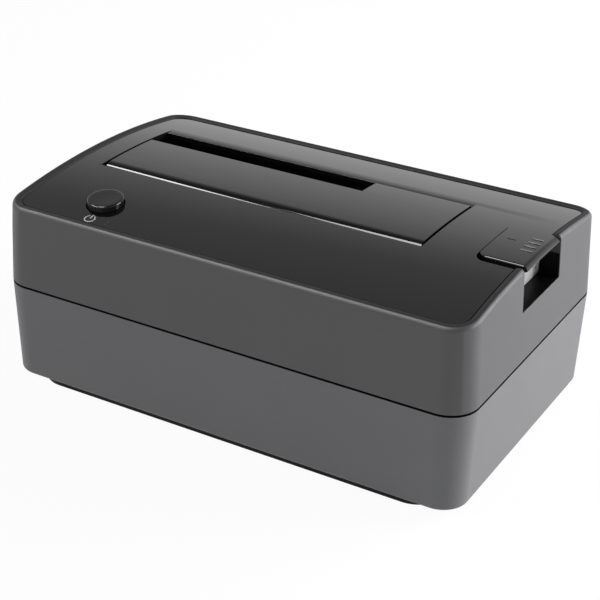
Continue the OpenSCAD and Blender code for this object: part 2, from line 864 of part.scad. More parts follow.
module power_switch() {
    well = plunger_w / 2 + switch_gap;
    color([0.2, 0.2, 0.22])
        difference() {
            block([button_x - switch_w / 2, button_y - switch_w / 2, board_top],
                  [button_x + switch_w / 2, button_y + switch_w / 2, board_top + switch_h]);
            block([button_x - well, button_y - well, board_top + switch_h - button_travel - 1],
                  [button_x + well, button_y + well, far]);
        }
}

// Eject key: a crowned plate with a rolled nose, on a leg that reaches down to the rocker

module key_plan() {
    w = nose_x - key_x0;
    translate([key_x0 + key_corner_r, key_y0])
        square([w - key_corner_r, key_w]);
    translate([key_x0, key_y0 + key_corner_r])
        square([w, key_w - 2 * key_corner_r]);
    for (y = [key_y0 + key_corner_r, key_y1 - key_corner_r])
        translate([key_x0 + key_corner_r, y])
            circle(key_corner_r);
}

module nose_profile() {
    low = key_under - weld;
    top = key_top + weld;
    translate([key_x0 - weld, low])
        square([nose_x - nose_r - key_x0 + weld, top - low]);
    translate([key_x0 - weld, low])
        square([nose_x - key_x0 + weld, key_top - nose_r - low]);
    translate([nose_x - nose_r, key_top - nose_r])
        circle(nose_r);
}

module eject_key() {
    barb_z = sleeve_z - 0.2;
    color([0.07, 0.07, 0.08]) {
        intersection() {
            prism(key_under, crest_z)
                key_plan();
            crown(key_drop);
            profile_y(key_y0 - weld, key_y1 + weld)
                nose_profile();
        }
        block([leg_x - leg_t / 2, leg_y - leg_w / 2, leg_end + leg_r],
              [leg_x + leg_t / 2, leg_y + leg_w / 2, key_under + weld]);
        bar_y([leg_x, leg_y - leg_w / 2, leg_end + leg_r], leg_t, leg_w);
        // Skirt that closes the pocket's back wall behind the key
        block([leg_x + leg_t / 2 - weld, key_y0, skirt_z], [skirt_x, key_y1, key_under + weld]);
        // Barb that keeps the leg in its sleeve
        profile_y(leg_y - leg_w / 2, leg_y + leg_w / 2)
            polygon([[leg_x, barb_z - 2 * barb_h], [leg_x, barb_z],
                     [leg_x - leg_t / 2 - barb_t, barb_z], [leg_x - leg_t / 2 - barb_t, barb_z - 0.4],
                     [leg_x - leg_t / 2, barb_z - barb_h]]);
    }
}

// Rocker: a seesaw on a pin, pressed down at its pad, lifting the drive with its finger

module rocker_profile() {
    arm_top = pivot_z + arm_t / 2;
    tip_x = pivot_x - lift_reach;
    pad_x0 = leg_x - coil_d / 2;
    knee_x = (bay_x1 + well_wall + pad_x0) / 2;
    pad_x1 = leg_x + coil_d / 2;
    translate([tip_x, arm_top - arm_t])
        square([lift_reach, arm_t]);
    translate([pivot_x, pivot_z])
        circle(boss_r);
    polygon([[pivot_x, arm_top], [pivot_x, arm_top - arm_t], [knee_x, arm_top - arm_t + 1],
             [pad_x0, pad_z - arm_t], [pad_x1, pad_z - arm_t], [pad_x1, pad_z], [pad_x0, pad_z],
             [bay_x1 + well_wall, arm_top + 1]]);
}

module lift_rocker() {
    tip_x = pivot_x - lift_reach;
    color([0.16, 0.16, 0.17])
        difference() {
            union() {
                profile_y(rocker_y0, rocker_y1)
                    rocker_profile();
                block([tip_x, rocker_y1 - finger_w, pivot_z], [tip_x + finger_l, rocker_y1, finger_top]);
            }
            bar_y([pivot_x, rocker_y0 - weld, pivot_z], rocker_pin_d + 2 * run_gap, rocker_w + 2 * weld);
        }
}

module rocker_pin() {
    color("silver")
        bar_y([pivot_x, rocker_y0 - lug_gap - lug_t, pivot_z], rocker_pin_d, rocker_w + 2 * (lug_gap + lug_t));
}

return_coil = [for (i = [0:coil_turns * curl_rings])
    let (s = i / (coil_turns * curl_rings), a = 360 * coil_turns * s, r = (coil_d - wire_d) / 2)
    [leg_x + r * cos(a), leg_y + r * sin(a),
     spring_seat_z + wire_d / 2 + s * (spring_top_z - spring_seat_z - wire_d)]];

module return_spring() {
    echo(return_spring_gap = least_gap(return_coil, curl_rings / 2));
    color("lightsteelblue")
        wire(return_coil, [0, 0, 1]);
}

// Circuit board and what is soldered to it

module main_board() {
    color("darkgreen")
        difference() {
            block([board_x0, -board_d / 2, board_z], [board_x1, board_d / 2, board_top]);
            at_board_holes()
                bar_z([0, 0, 0], small_screw_d + 4 * screw_gap, far);
        }
}

// The receptacle's two keyed slots take the drive's signal blade and power blade
signal_l = 10.6;
power_l = 21.2;
blade_wall = 3;
blade_t = 2.4;
blade_depth = 6;
signal_x = sata_x + sata_w / 2 - blade_wall - signal_l;
power_x = sata_x - sata_w / 2 + blade_wall;
contact_pitch = 1.27;
contact_w = 0.7;
contact_t = 0.3;

module sata_connector() {
    color([0.05, 0.05, 0.05])
        difference() {
            block([sata_x - sata_w / 2, sata_y - sata_d / 2, board_top],
                  [sata_x + sata_w / 2, sata_y + sata_d / 2, sata_top]);
            for (slot = [[signal_x, signal_l], [power_x, power_l]]) {
                block([slot[0], sata_y - blade_t / 2, sata_top - blade_depth],
                      [slot[0] + slot[1], sata_y + blade_t / 2, far]);
                block([slot[0], sata_y - blade_t / 2, sata_top - blade_depth],
                      [slot[0] + blade_t / 2, sata_y + blade_t / 2 + 1, far]);
            }
        }
}

module sata_contacts() {
    color("gold")
        for (row = [[signal_x + signal_l / 2, 7], [power_x + power_l / 2, 15]], i = [0:row[1] - 1])
            translate([row[0] + (i - (row[1] - 1) / 2) * contact_pitch, sata_y - blade_t / 2, sata_top - blade_depth])
                translate([-contact_w / 2, 0, 0])
                    cube([contact_w, contact_t, blade_depth - 0.8]);
}

usb_skin = 0.5;

module usb_port() {
    color("silver")
        difference() {
            block([usb_x - usb_w / 2, port_y - usb_l, board_top], [usb_x + usb_w / 2, port_y, board_top + usb_h]);
            block([usb_x - usb_w / 2 + usb_skin, port_y - usb_l + 2, board_top + usb_skin],
                  [usb_x + usb_w / 2 - usb_skin, port_y + weld, board_top + usb_h - usb_skin]);
        }
}

// Two stacked tongues: the main one, and the narrow one above it for the fast lanes
module usb_insert() {
    tongue_x = 5.6 / 2;
    fast_x = 7 / 2;
    color("royalblue") {
        block([usb_x - usb_w / 2 + usb_skin, port_y - usb_l + 2, board_top + usb_skin],
              [usb_x + usb_w / 2 - usb_skin, port_y - usb_l + 6, board_top + usb_h - usb_skin]);
        block([usb_x - tongue_x, port_y - usb_l + 5, board_top + 3],
              [usb_x + tongue_x, port_y - 1.5, board_top + 6.2]);
        block([usb_x - fast_x, port_y - usb_l + 5, board_top + 8.6],
              [usb_x + fast_x, port_y - 1.5, board_top + 10]);
    }
}

jack_axis_z = board_top + jack_h / 2 + 0.4;
jack_pin_d = 2;

module dc_jack() {
    color([0.06, 0.06, 0.06])
        difference() {
            block([jack_x - jack_w / 2, port_y - jack_l, board_top],
                  [jack_x + jack_w / 2, port_y, board_top + jack_h]);
            bar_y([jack_x, port_y - jack_l + 3, jack_axis_z], jack_bore, jack_l);
        }
}

module dc_pin() {
    color("silver")
        bar_y([jack_x, port_y - jack_l + 3, jack_axis_z], jack_pin_d, jack_l - 4.5);
}

module status_led() {
    color("lightcyan")
        block([led_x - led_w / 2, led_y - led_w / 2, board_top], [led_x + led_w / 2, led_y + led_w / 2, board_top + led_h]);
}

// Clear rod from the light up through the deck, with a thin tip flush with the top plate
module light_pipe() {
    low = board_top + led_h + 0.2;
    shoulder = crown_z(led_y, plate_drop) - 0.5;
    tip = crown_z(led_y, rim_h) - 0.1;
    color("aliceblue") {
        bar_z([led_x, led_y, low], pipe_d, shoulder - low);
        bar_z([led_x, led_y, shoulder - weld], pipe_tip_d, tip - shoulder + weld);
        bar_z([led_x, led_y, pipe_boss_z - 1.2], pipe_d + 1.4, 1);
    }
}

// Middle of the strip of board between its front edge and the drive well
strip_y = (bay_y0 - well_wall - board_d / 2) / 2;
chip_y = (bay_y0 + sata_y - sata_d / 2) / 2;
chip_w = 9;
chip_h = 1;
chip_gap = 1.5;
coil_w = 7;
coil_h = 4;
core_d = 6.2;
can_d = 6.3;
can_h = 7.7;
can_base_w = 6.7;
can_base_h = 1;
can_pitch = 8.4;
crystal_l = 5;
crystal_w = 3.2;
crystal_h = 1.2;
crystal_r = 0.5;

module bridge_chip() {
    color([0.08, 0.08, 0.08])
        translate([sata_x, chip_y, board_top])
            block([-chip_w / 2, -chip_w / 2, 0], [chip_w / 2, chip_w / 2, chip_h]);
}

module power_coil() {
    color([0.25, 0.25, 0.26])
        translate([sata_x, strip_y, board_top]) {
            prism(coil_h / 4, coil_h * 3 / 4)
                round_rect(core_d, core_d, 2);
            for (z = [0, coil_h * 3 / 4])
                prism(z, z + coil_h / 4)
                    round_rect(coil_w, coil_w, 1);
        }
}

module capacitors() {
    color("lightgray")
        for (i = [0, 1])
            translate([board_hole_x[1] - (1 + i) * can_pitch, strip_y, board_top]) {
                prism(0, can_base_h)
                    round_rect(can_base_w, can_base_w, 0.8);
                bar_z([0, 0, can_base_h], can_d, can_h - can_base_h);
            }
}

module crystal() {
    color("silver")
        translate([sata_x - chip_w / 2 - chip_gap - crystal_l / 2, chip_y, board_top])
            linear_extrude(crystal_h)
                round_rect(crystal_l, crystal_w, crystal_r);
}

// Fasteners and feet

// A pan-head screw standing on its head, with a cross recess
module screw(d, l, head_d, head_t) {
    recess_w = 0.2 * head_d;
    difference() {
        union() {
            translate([0, 0, -head_t])
                cylinder(d = head_d, h = head_t);
            cylinder(d = d, h = l);
        }
        for (a = [0, 90])
            rotate(a)
                translate([-head_d * 0.32, -recess_w / 2, -head_t - weld])
                    cube([head_d * 0.64, recess_w, head_t / 2 + weld]);
    }
}

module board_screws() {
    color("silver")
        at_board_holes()
            translate([0, 0, board_top])
                mirror([0, 0, 1])
                    screw(small_screw_d, board_screw_l, small_head_d, small_head_t);
}

module well_screws() {
    color("silver")
        at_well_ears()
            translate([0, 0, ear_z])
                screw(small_screw_d, well_screw_l, small_head_d, small_head_t);
}

module case_screws() {
    color("silver")
        at_corners(post_x, post_y)
            translate([0, 0, screw_head_z])
                screw(case_screw_d, case_screw_l, case_head_d, case_head_t);
}

module rubber_feet() {
    color([0.12, 0.12, 0.12])
        at_corners(foot_x, foot_y)
            rotate_extrude()
                polygon([[0, 0], [foot_d / 2 - 0.5, 0], [foot_d / 2, 0.5],
                         [foot_d / 2, foot_drop + foot_recess], [0, foot_drop + foot_recess]]);
}

lower_shell();
upper_shell();
top_plate();
drive_well();
flap();
flap_pin();
flap_spring();
power_button();
switch_plunger();
power_switch();
eject_key();
lift_rocker();
rocker_pin();
return_spring();
main_board();
sata_connector();
sata_contacts();
usb_port();
usb_insert();
dc_jack();
dc_pin();
status_led();
light_pipe();
bridge_chip();
power_coil();
capacitors();
crystal();
board_screws();
well_screws();
case_screws();
rubber_feet();
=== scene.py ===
import math

import bmesh
import bpy
from mathutils import Matrix, Vector


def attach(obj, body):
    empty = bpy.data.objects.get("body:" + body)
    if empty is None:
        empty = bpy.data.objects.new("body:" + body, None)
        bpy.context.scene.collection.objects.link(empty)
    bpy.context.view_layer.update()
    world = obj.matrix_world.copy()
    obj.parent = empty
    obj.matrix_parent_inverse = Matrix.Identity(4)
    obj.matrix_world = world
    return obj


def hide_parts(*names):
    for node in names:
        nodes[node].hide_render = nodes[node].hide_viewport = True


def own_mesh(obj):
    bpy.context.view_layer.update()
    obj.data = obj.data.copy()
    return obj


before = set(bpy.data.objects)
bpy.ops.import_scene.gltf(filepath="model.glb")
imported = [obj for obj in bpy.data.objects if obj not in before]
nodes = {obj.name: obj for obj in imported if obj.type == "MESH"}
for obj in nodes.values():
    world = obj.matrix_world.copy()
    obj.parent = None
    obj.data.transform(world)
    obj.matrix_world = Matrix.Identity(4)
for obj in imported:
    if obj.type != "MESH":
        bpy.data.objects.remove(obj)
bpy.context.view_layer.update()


# Lower half of the case: matte dark grey ABS, injection moulded with a fine spark-eroded grain, on
# a plinth set back under its edge. A tongue round its top locates the upper half, which four screws
# from below clamp to it. Its grey is painted lighter than the upper half's, a painted light for the
# light its lower sides catch from the floor. The tongue and the plinth's side are painted near
# black, a painted shade for the shadow in the seam and under the edge.

MM = 0.001
CASE_W = 145.0
CASE_D = 90.0
CORNER = 8.5
LOWER_TOP = 30.75
BASE_Z = 2.2
BASE_INSET = 1.0
BASE_R = 1.0
PLINTH = (64.5, 42.5)
PLINTH_Z = 0.4
PLINTH_CORNER = 9.0
PLINTH_LAP = 0.4
TONGUE_OUT = 1.2
TONGUE_T = 1.0
TONGUE_H = 1.85
CAVITY_STEP = 1.0
FLOOR_Z = 3.2
POST_X = 60.5
POST_Y = 33.0
POST_D = 8.0
POST_TOP = 8.0
POST_LAP = 0.2
SCREW_HOLE_D = 3.4
SCREW_HEAD_D = 5.9
SCREW_HEAD_TOP = 4.6
FOOT_X = 46.0
FOOT_Y = 31.0
FOOT_RECESS_D = 12.2
FOOT_RECESS_TOP = 1.6
PORT_X = (-26.25, -13.75)
PORT_Z = (9.35, 22.05)
INLET_X = (-46.75, -37.25)
INLET_Z = (9.35, 20.85)
BACK_WALL_Y = (38.0, 50.0)
OVERSHOOT = 1.0
SLACK = 0.1
LOWER_EDGE = 0.25


class Signal:
    """A shader socket that adds and multiplies like a number, each sum becoming a Math node."""

    def __init__(self, tree, socket):
        self.tree = tree
        self.socket = socket

    def node(self, kind, output, settings=(), **inputs):
        """Adds another node: its settings first, then its socket values and links."""
        made = self.tree.nodes.new(kind)
        for name, value in dict(settings).items():
            setattr(made, name, value)
        for name, value in inputs.items():
            feed(self.tree, made, name.replace("_", " "), value)
        found = [s for s in made.outputs if s.enabled and s.name == output]
        return Signal(self.tree, found[0])

    def math(self, operation, first, second):
        made = self.tree.nodes.new("ShaderNodeMath")
        made.operation = operation
        for socket, value in zip(made.inputs, (first, second)):
            if isinstance(value, Signal):
                self.tree.links.new(value.socket, socket)
            else:
                socket.default_value = value
        return Signal(self.tree, made.outputs[0])

    def __add__(self, other):
        return self.math("ADD", self, other)

    def __radd__(self, other):
        return self.math("ADD", other, self)

    def __mul__(self, other):
        return self.math("MULTIPLY", self, other)

    def __rmul__(self, other):
        return self.math("MULTIPLY", other, self)

    def above(self, edge):
        return self.math("GREATER_THAN", self, edge)

    def noise(self, size, detail=2.0):
        """Cloudy noise from 0 to 1 whose patches are about that many millimetres across."""
        return self.node(
            "ShaderNodeTexNoise", "Fac", Vector=self, Scale=1.0 / (size * MM), Detail=detail
        )

    def between(self, first, second):
        """The colour that goes from the first to the second as this goes from 0 to 1."""
        return self.node(
            "ShaderNodeMix", "Result", {"data_type": "RGBA"}, Factor=self, A=first, B=second
        )

    def relief(self, depth, strength=1.0):
        """The normal of a surface that this raises by up to that many millimetres."""
        return self.node(
            "ShaderNodeBump", "Normal", Height=self, Distance=depth * MM, Strength=strength
        )


def feed(tree, node, name, value):
    """Sets or links the node's enabled input of that name."""
    socket = [s for s in node.inputs if s.enabled and s.name == name][0]
    if isinstance(value, Signal):
        tree.links.new(value.socket, socket)
    else:
        socket.default_value = value


def grey(level, blue=1.0):
    """A neutral colour in linear light, a little bluer where asked."""
    return (level, level, level * blue, 1.0)


class Finish:
    """A material: its Principled shader and the object's own coordinates to draw from."""

    def __init__(self, name):
        self.material = bpy.data.materials.new(name)
        self.material.use_nodes = True
        self.tree = self.material.node_tree
        self.shader = self.tree.nodes["Principled BSDF"]
        coordinates = self.tree.nodes.new("ShaderNodeTexCoord")
        self.place = Signal(self.tree, coordinates.outputs["Object"])

    def set(self, **inputs):
        for name, value in inputs.items():
            feed(self.tree, self.shader, name.replace("_", " "), value)
        return self

    def on(self, *pieces):
        """Puts the material in every slot of the pieces."""
        for piece in pieces:
            if not piece.material_slots:
                piece.data.materials.append(self.material)
            for slot in piece.material_slots:
                slot.material = self.material


def pick(piece, kind, test):
    """Edit mode, with only those vertices, edges or faces of the piece selected that pass.

    The test gets the middle in millimetres and the direction: a face's normal, an edge's run."""
    if bpy.context.mode != "EDIT_MESH":
        bpy.ops.object.select_all(action="DESELECT")
        piece.select_set(True)
        bpy.context.view_layer.objects.active = piece
        bpy.ops.object.mode_set(mode="EDIT")
    bpy.ops.mesh.select_mode(type=kind)
    bpy.ops.mesh.select_all(action="DESELECT")
    mesh = bmesh.from_edit_mesh(piece.data)
    mesh.normal_update()
    for part in {"VERT": mesh.verts, "EDGE": mesh.edges, "FACE": mesh.faces}[kind]:
        corners = [part.co] if kind == "VERT" else [v.co for v in part.verts]
        middle = sum(corners, Vector()) / len(corners) / MM
        run = (corners[-1] - corners[0]).normalized() if kind == "EDGE" else part.normal
        part.select_set(bool(test(middle, run)))
    mesh.select_flush_mode()
    bmesh.update_edit_mesh(piece.data)


def done(piece):
    """Back to object mode, with every face turned outward."""
    pick(piece, "FACE", lambda at, out: True)
    bpy.ops.mesh.normals_make_consistent(inside=False)
    bpy.ops.object.mode_set(mode="OBJECT")


def near(a, b, slack=0.02):
    return abs(a - b) < slack


def outline(name, low, high, z, radius):
    """A flat rectangle with round corners, facing up and picked: where a moulding starts."""
    bpy.ops.object.select_all(action="DESELECT")
    middle = ((low[0] + high[0]) / 2 * MM, (low[1] + high[1]) / 2 * MM, z * MM)
    bpy.ops.mesh.primitive_plane_add(size=MM, location=middle)
    piece = bpy.context.object
    piece.name = name
    piece.scale = (high[0] - low[0], high[1] - low[1], 1.0)
    bpy.ops.object.transform_apply(location=True, rotation=True, scale=True)
    pick(piece, "VERT", lambda at, out: True)
    bpy.ops.mesh.bevel(affect="VERTICES", offset=radius * MM, segments=16, profile=0.5)
    pick(piece, "FACE", lambda at, out: True)
    return piece


def step(inward, along=0.0):
    """Insets the picked face and moves it along its normal: a slope or a ledge of the section."""
    bpy.ops.mesh.inset(thickness=inward * MM, depth=along * MM, use_even_offset=True)


def rise(y=0.0, z=0.0):
    """Extrudes the picked faces by that much."""
    bpy.ops.mesh.extrude_region_move(TRANSFORM_OT_translate={"value": (0.0, y * MM, z * MM)})


def block(low, high):
    """A box between two corners, as a tool for a cut or the start of a piece."""
    bpy.ops.object.select_all(action="DESELECT")
    middle = [(a + b) / 2 * MM for a, b in zip(low, high)]
    bpy.ops.mesh.primitive_cube_add(size=MM, location=middle)
    piece = bpy.context.object
    piece.scale = [b - a for a, b in zip(low, high)]
    bpy.ops.object.transform_apply(location=True, rotation=True, scale=True)
    return piece


def rod(x, y, low, high, diameter, sides=64):
    """An upright cylinder."""
    bpy.ops.object.select_all(action="DESELECT")
    bpy.ops.mesh.primitive_cylinder_add(
        vertices=sides,
        radius=diameter / 2 * MM,
        depth=(high - low) * MM,
        location=(x * MM, y * MM, (low + high) / 2 * MM),
    )
    bpy.ops.object.transform_apply(location=True, rotation=True, scale=True)
    return bpy.context.object


def apply(piece, modifier):
    bpy.context.view_layer.objects.active = piece
    bpy.ops.object.modifier_apply(modifier=modifier.name)


def combine(piece, operation, *tools):
    """Adds or cuts away the tools, which are used up."""
    for tool in tools:
        modifier = piece.modifiers.new("combine", "BOOLEAN")
        modifier.object = tool
        modifier.operation = operation
        modifier.solver = "EXACT"
        apply(piece, modifier)
        bpy.data.objects.remove(tool)


def soften(piece, width, angle=35.0):
    """Breaks every sharp edge with a small round, as a mould does."""
    modifier = piece.modifiers.new("soften", "BEVEL")
    modifier.width = width * MM
    modifier.segments = 3
    modifier.limit_method = "ANGLE"
    modifier.angle_limit = math.radians(angle)
    modifier.miter_outer = "MITER_ARC"
    apply(piece, modifier)


def smooth(piece):
    """Smooth shading that keeps flat faces flat."""
    bpy.ops.object.select_all(action="DESELECT")
    piece.select_set(True)
    bpy.context.view_layer.objects.active = piece
    bpy.ops.object.shade_smooth_by_angle(angle=math.radians(40.0))
    modifier = piece.modifiers.new("flat faces", "WEIGHTED_NORMAL")
    modifier.keep_sharp = True
    apply(piece, modifier)


def inwards(at):
    """How far inside the case's outline at the seam a point is."""
    over_x = abs(at.x) - (CASE_W / 2 - CORNER)
    over_y = abs(at.y) - (CASE_D / 2 - CORNER)
    reach = math.hypot(max(over_x, 0.0), max(over_y, 0.0)) + min(max(over_x, over_y), 0.0)
    return CORNER - reach


half = Vector((CASE_W / 2, CASE_D / 2))
lower_case = outline("lower_case", -half, half, LOWER_TOP, CORNER)
bpy.ops.mesh.flip_normals()
step(BASE_INSET, LOWER_TOP - BASE_Z)
pick(lower_case, "EDGE", lambda at, run: near(at.z, BASE_Z))
bpy.ops.mesh.bevel(offset=BASE_R * MM, segments=8)
pick(lower_case, "EDGE", lambda at, run: near(at.z, LOWER_TOP))
bpy.ops.mesh.edge_face_add()
done(lower_case)
pick(lower_case, "FACE", lambda at, out: near(at.z, LOWER_TOP) and out.z > 0.9)
step(TONGUE_OUT)
rise(z=TONGUE_H)
step(TONGUE_T)
rise(z=-TONGUE_H)
step(CAVITY_STEP)
rise(z=FLOOR_Z - LOWER_TOP)
done(lower_case)
plinth_half = Vector(PLINTH)
plinth_top = BASE_Z + PLINTH_LAP
plinth = outline("plinth", -plinth_half, plinth_half, plinth_top, PLINTH_CORNER)
rise(z=PLINTH_Z - plinth_top)
done(plinth)
corners = [(x, y) for x in (-1, 1) for y in (-1, 1)]
posts = [(POST_X * x, POST_Y * y) for x, y in corners]
feet = [(FOOT_X * x, FOOT_Y * y) for x, y in corners]
combine(
    lower_case,
    "UNION",
    plinth,
    *[rod(x, y, FLOOR_Z - POST_LAP, POST_TOP, POST_D) for x, y in posts],
)
combine(
    lower_case,
    "DIFFERENCE",
    *[rod(x, y, 0.0, SCREW_HEAD_TOP, SCREW_HEAD_D) for x, y in posts],
    *[rod(x, y, 0.0, POST_TOP + OVERSHOOT, SCREW_HOLE_D) for x, y in posts],
    *[rod(x, y, 0.0, FOOT_RECESS_TOP, FOOT_RECESS_D) for x, y in feet],
    block((PORT_X[0], BACK_WALL_Y[0], PORT_Z[0]), (PORT_X[1], BACK_WALL_Y[1], PORT_Z[1])),
    block((INLET_X[0], BACK_WALL_Y[0], INLET_Z[0]), (INLET_X[1], BACK_WALL_Y[1], INLET_Z[1])),
)
soften(lower_case, LOWER_EDGE)
smooth(lower_case)


def grained(name, dark, light):
    """Matte ABS with a fine grain, and a faint cloudiness between two greys."""
    finish = Finish(name)
    cloud = finish.place.noise(18.0, 3.0)
    grain = finish.place.noise(0.42, 3.0)
    return finish.set(
        Base_Color=cloud.between(grey(dark, 1.05), grey(light, 1.05)),
        Roughness=0.44 + 0.1 * grain,
        IOR=1.5,
        Normal=grain.relief(0.045, 0.5),
    )


def coat(piece, finish, test):
    """Gives the faces that pass the test a finish of their own."""
    piece.data.materials.append(finish.material)
    pick(piece, "FACE", test)
    piece.active_material_index = len(piece.data.materials) - 1
    bpy.ops.object.material_slot_assign()
    bpy.ops.object.mode_set(mode="OBJECT")


# Painted light: the lower half's grey is lighter than the upper half's, for the light its lower
# sides catch from the floor.
grained("lower_plastic_painted_light", 0.082, 0.093).on(lower_case)
# A near-black finish that is painted shade: it stands for the shadow in the seam, on the plinth's
# side, round the bay and in the pocket.
painted_shade_black = Finish("painted_shade_black")
shade_noise = painted_shade_black.place.noise(0.5, 3.0)
painted_shade_black.set(
    Base_Color=shade_noise.between(grey(0.001), grey(0.003)),
    Roughness=0.35 + 0.1 * shade_noise,
    IOR=1.5,
    Specular_IOR_Level=0.12,
)


def in_seam(at):
    return LOWER_TOP - SLACK < at.z < LOWER_TOP + TONGUE_H + SLACK


def on_plinth_side(at, out):
    return at.z < BASE_Z and abs(out.z) < 0.5 and inwards(at) > BASE_INSET + BASE_R


# Painted shade: the seam's tongue and ledge and the plinth's side are made near black for the
# shadow that falls there.
coat(lower_case, painted_shade_black, lambda at, out: in_seam(at) or on_plinth_side(at, out))
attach(lower_case, "case")
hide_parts("lower_shell")


# Four round feet: black rubber with a little dust in its pores, die cut from sheet and glued into
# shallow recesses of the plinth.

rubber = Finish("rubber")
dust = rubber.place.noise(2.5, 4.0)
rubber.set(
    Base_Color=dust.between(grey(0.012), grey(0.035)),
    Roughness=0.75 + 0.2 * dust,
    Normal=rubber.place.noise(0.3, 2.0).relief(0.05, 0.6),
)
rubber.on(nodes["rubber_feet"])


# Circuit board: green glass-epoxy under solder resist, held on the floor bosses by four screws.
# Copper tracks show through the resist as a lighter weave.

board = Finish("board")
weave = board.place.node(
    "ShaderNodeTexBrick",
    "Fac",
    {"offset": 0.37, "squash": 1.0},
    Vector=board.place,
    Scale=260.0,
    Mortar_Size=0.012,
)
board.set(
    Base_Color=weave.between((0.012, 0.11, 0.045, 1.0), (0.03, 0.2, 0.08, 1.0)),
    Roughness=0.3 + 0.15 * board.place.noise(3.0),
    Normal=weave.relief(0.03, 0.6),
)
board.on(nodes["main_board"])
steel = Finish("steel")
drawn = steel.place.noise(0.6, 5.0)
steel.set(
    Base_Color=drawn.between(grey(0.42), grey(0.6)),
    Metallic=1.0,
    Roughness=0.24 + 0.16 * drawn,
)
steel.on(nodes["board_screws"])


# What the board carries: the bridge chip in moulded resin, its crystal in a metal can, the power
# coil on a ferrite core and two capacitors in aluminium cans, all soldered down.

chip_resin = Finish("chip_resin")
speckle = chip_resin.place.noise(0.25, 3.0)
chip_resin.set(
    Base_Color=speckle.between(grey(0.014), grey(0.03)),
    Roughness=0.55 + 0.2 * speckle,
    Normal=speckle.relief(0.02, 0.5),
)
chip_resin.on(nodes["bridge_chip"])
can_metal = Finish("can_metal")
brushed = can_metal.place.noise(0.5, 6.0)
can_metal.set(
    Base_Color=brushed.between(grey(0.55), grey(0.75)),
    Metallic=1.0,
    Roughness=0.25 + 0.2 * brushed,
)
can_metal.on(nodes["crystal"], nodes["capacitors"])
ferrite = Finish("ferrite")
sinter = ferrite.place.noise(0.35, 4.0)
ferrite.set(
    Base_Color=sinter.between(grey(0.03), grey(0.075)),
    Roughness=0.6 + 0.25 * sinter,
    Normal=sinter.relief(0.04, 0.6),
)
ferrite.on(nodes["power_coil"])


# Drive connector: a black receptacle moulded in glass-filled plastic, with gold-plated blades that
# are soldered to the board.

connector_plastic = Finish("connector_plastic")
fibre = connector_plastic.place.noise(0.3, 4.0)
connector_plastic.set(
    Base_Color=fibre.between(grey(0.012), grey(0.024)),
    Roughness=0.45 + 0.2 * fibre,
    Normal=fibre.relief(0.02, 0.5),
)
connector_plastic.on(nodes["sata_connector"])
contact_plating = Finish("contact_plating")
wear = contact_plating.place.noise(0.4, 4.0)
contact_plating.set(
    Base_Color=wear.between((0.72, 0.5, 0.16, 1.0), (0.9, 0.68, 0.3, 1.0)),
    Metallic=1.0,
    Roughness=0.18 + 0.15 * wear,
)
contact_plating.on(nodes["sata_contacts"])


# Upstream port: a steel shell, folded and nickel plated, round a blue plastic tongue. It is
# soldered to the back edge of the board and shows through the back wall.

port_shell = Finish("port_shell")
rolled = port_shell.place.noise(0.8, 5.0)
port_shell.set(
    Base_Color=rolled.between(grey(0.55, 0.97), grey(0.72, 0.96)),
    Metallic=1.0,
    Roughness=0.2 + 0.15 * rolled,
)
port_shell.on(nodes["usb_port"])
port_insert = Finish("port_insert")
moulded = port_insert.place.noise(0.4, 3.0)
port_insert.set(
    Base_Color=moulded.between((0.012, 0.07, 0.3, 1.0), (0.02, 0.1, 0.38, 1.0)),
    Roughness=0.4 + 0.15 * moulded,
)
port_insert.on(nodes["usb_insert"])


# Power inlet: a black plastic jack with a plated centre pin, soldered to the back edge of the
# board beside the port.

connector_plastic.on(nodes["dc_jack"])
port_shell.on(nodes["dc_pin"])


# Push switch under the power button: a black body on the board with a white nylon plunger that
# springs back. The status light in clear resin is soldered beside it.

connector_plastic.on(nodes["power_switch"])
plunger_plastic = Finish("plunger_plastic")
nylon = plunger_plastic.place.noise(0.8, 3.0)
plunger_plastic.set(
    Base_Color=nylon.between(grey(0.55, 0.93), grey(0.66, 0.95)),
    Roughness=0.4 + 0.15 * nylon,
)
plunger_plastic.on(nodes["switch_plunger"])
light = Finish("light")
frost = light.place.noise(0.5, 3.0)
light.set(
    Base_Color=frost.between((0.35, 0.45, 0.7, 1.0), (0.5, 0.6, 0.85, 1.0)),
    Roughness=0.2 + 0.2 * frost,
)
light.on(nodes["status_led"])


# Lift rocker: a moulded seesaw on a steel axle. A coil spring under it returns the eject key.

WIRE_D = 0.5
RETURN_AT = (60.5, 10.5, 3.55)
RETURN_R = 2.75
RETURN_TURNS = 5
RETURN_LENGTH = 8.9
WIRE_SIDES = 12
WINDING_STEP = math.radians(15.0)


def wind(name, radius, start, turn, length):
    """A wire with closed ends, coiled up from the origin through that turn from the start angle."""
    bpy.ops.object.select_all(action="DESELECT")
    bpy.ops.mesh.primitive_circle_add(
        vertices=WIRE_SIDES,
        radius=WIRE_D / 2 * MM,
        location=(radius * MM, 0.0, 0.0),
        rotation=(math.pi / 2, 0.0, 0.0),
    )
    piece = bpy.context.object
    piece.name = name
    bpy.ops.object.transform_apply(location=True, rotation=True, scale=True)
    piece.rotation_euler.z = start
    bpy.ops.object.transform_apply(location=True, rotation=True, scale=True)
    winding = piece.modifiers.new("winding", "SCREW")
    winding.axis = "Z"
    winding.angle = turn
    winding.screw_offset = length * MM
    winding.steps = round(turn / WINDING_STEP)
    winding.render_steps = winding.steps
    apply(piece, winding)
    pick(piece, "FACE", lambda at, out: True)
    bpy.ops.mesh.fill_holes(sides=0)
    done(piece)
    return piece


def bring(piece, at, turn_y=0.0):
    """Turns a piece built at the origin about Y and moves it to its place."""
    bpy.ops.object.select_all(action="DESELECT")
    piece.select_set(True)
    piece.rotation_euler.y = turn_y
    piece.location = Vector(at) * MM
    bpy.ops.object.transform_apply(location=True, rotation=True, scale=True)


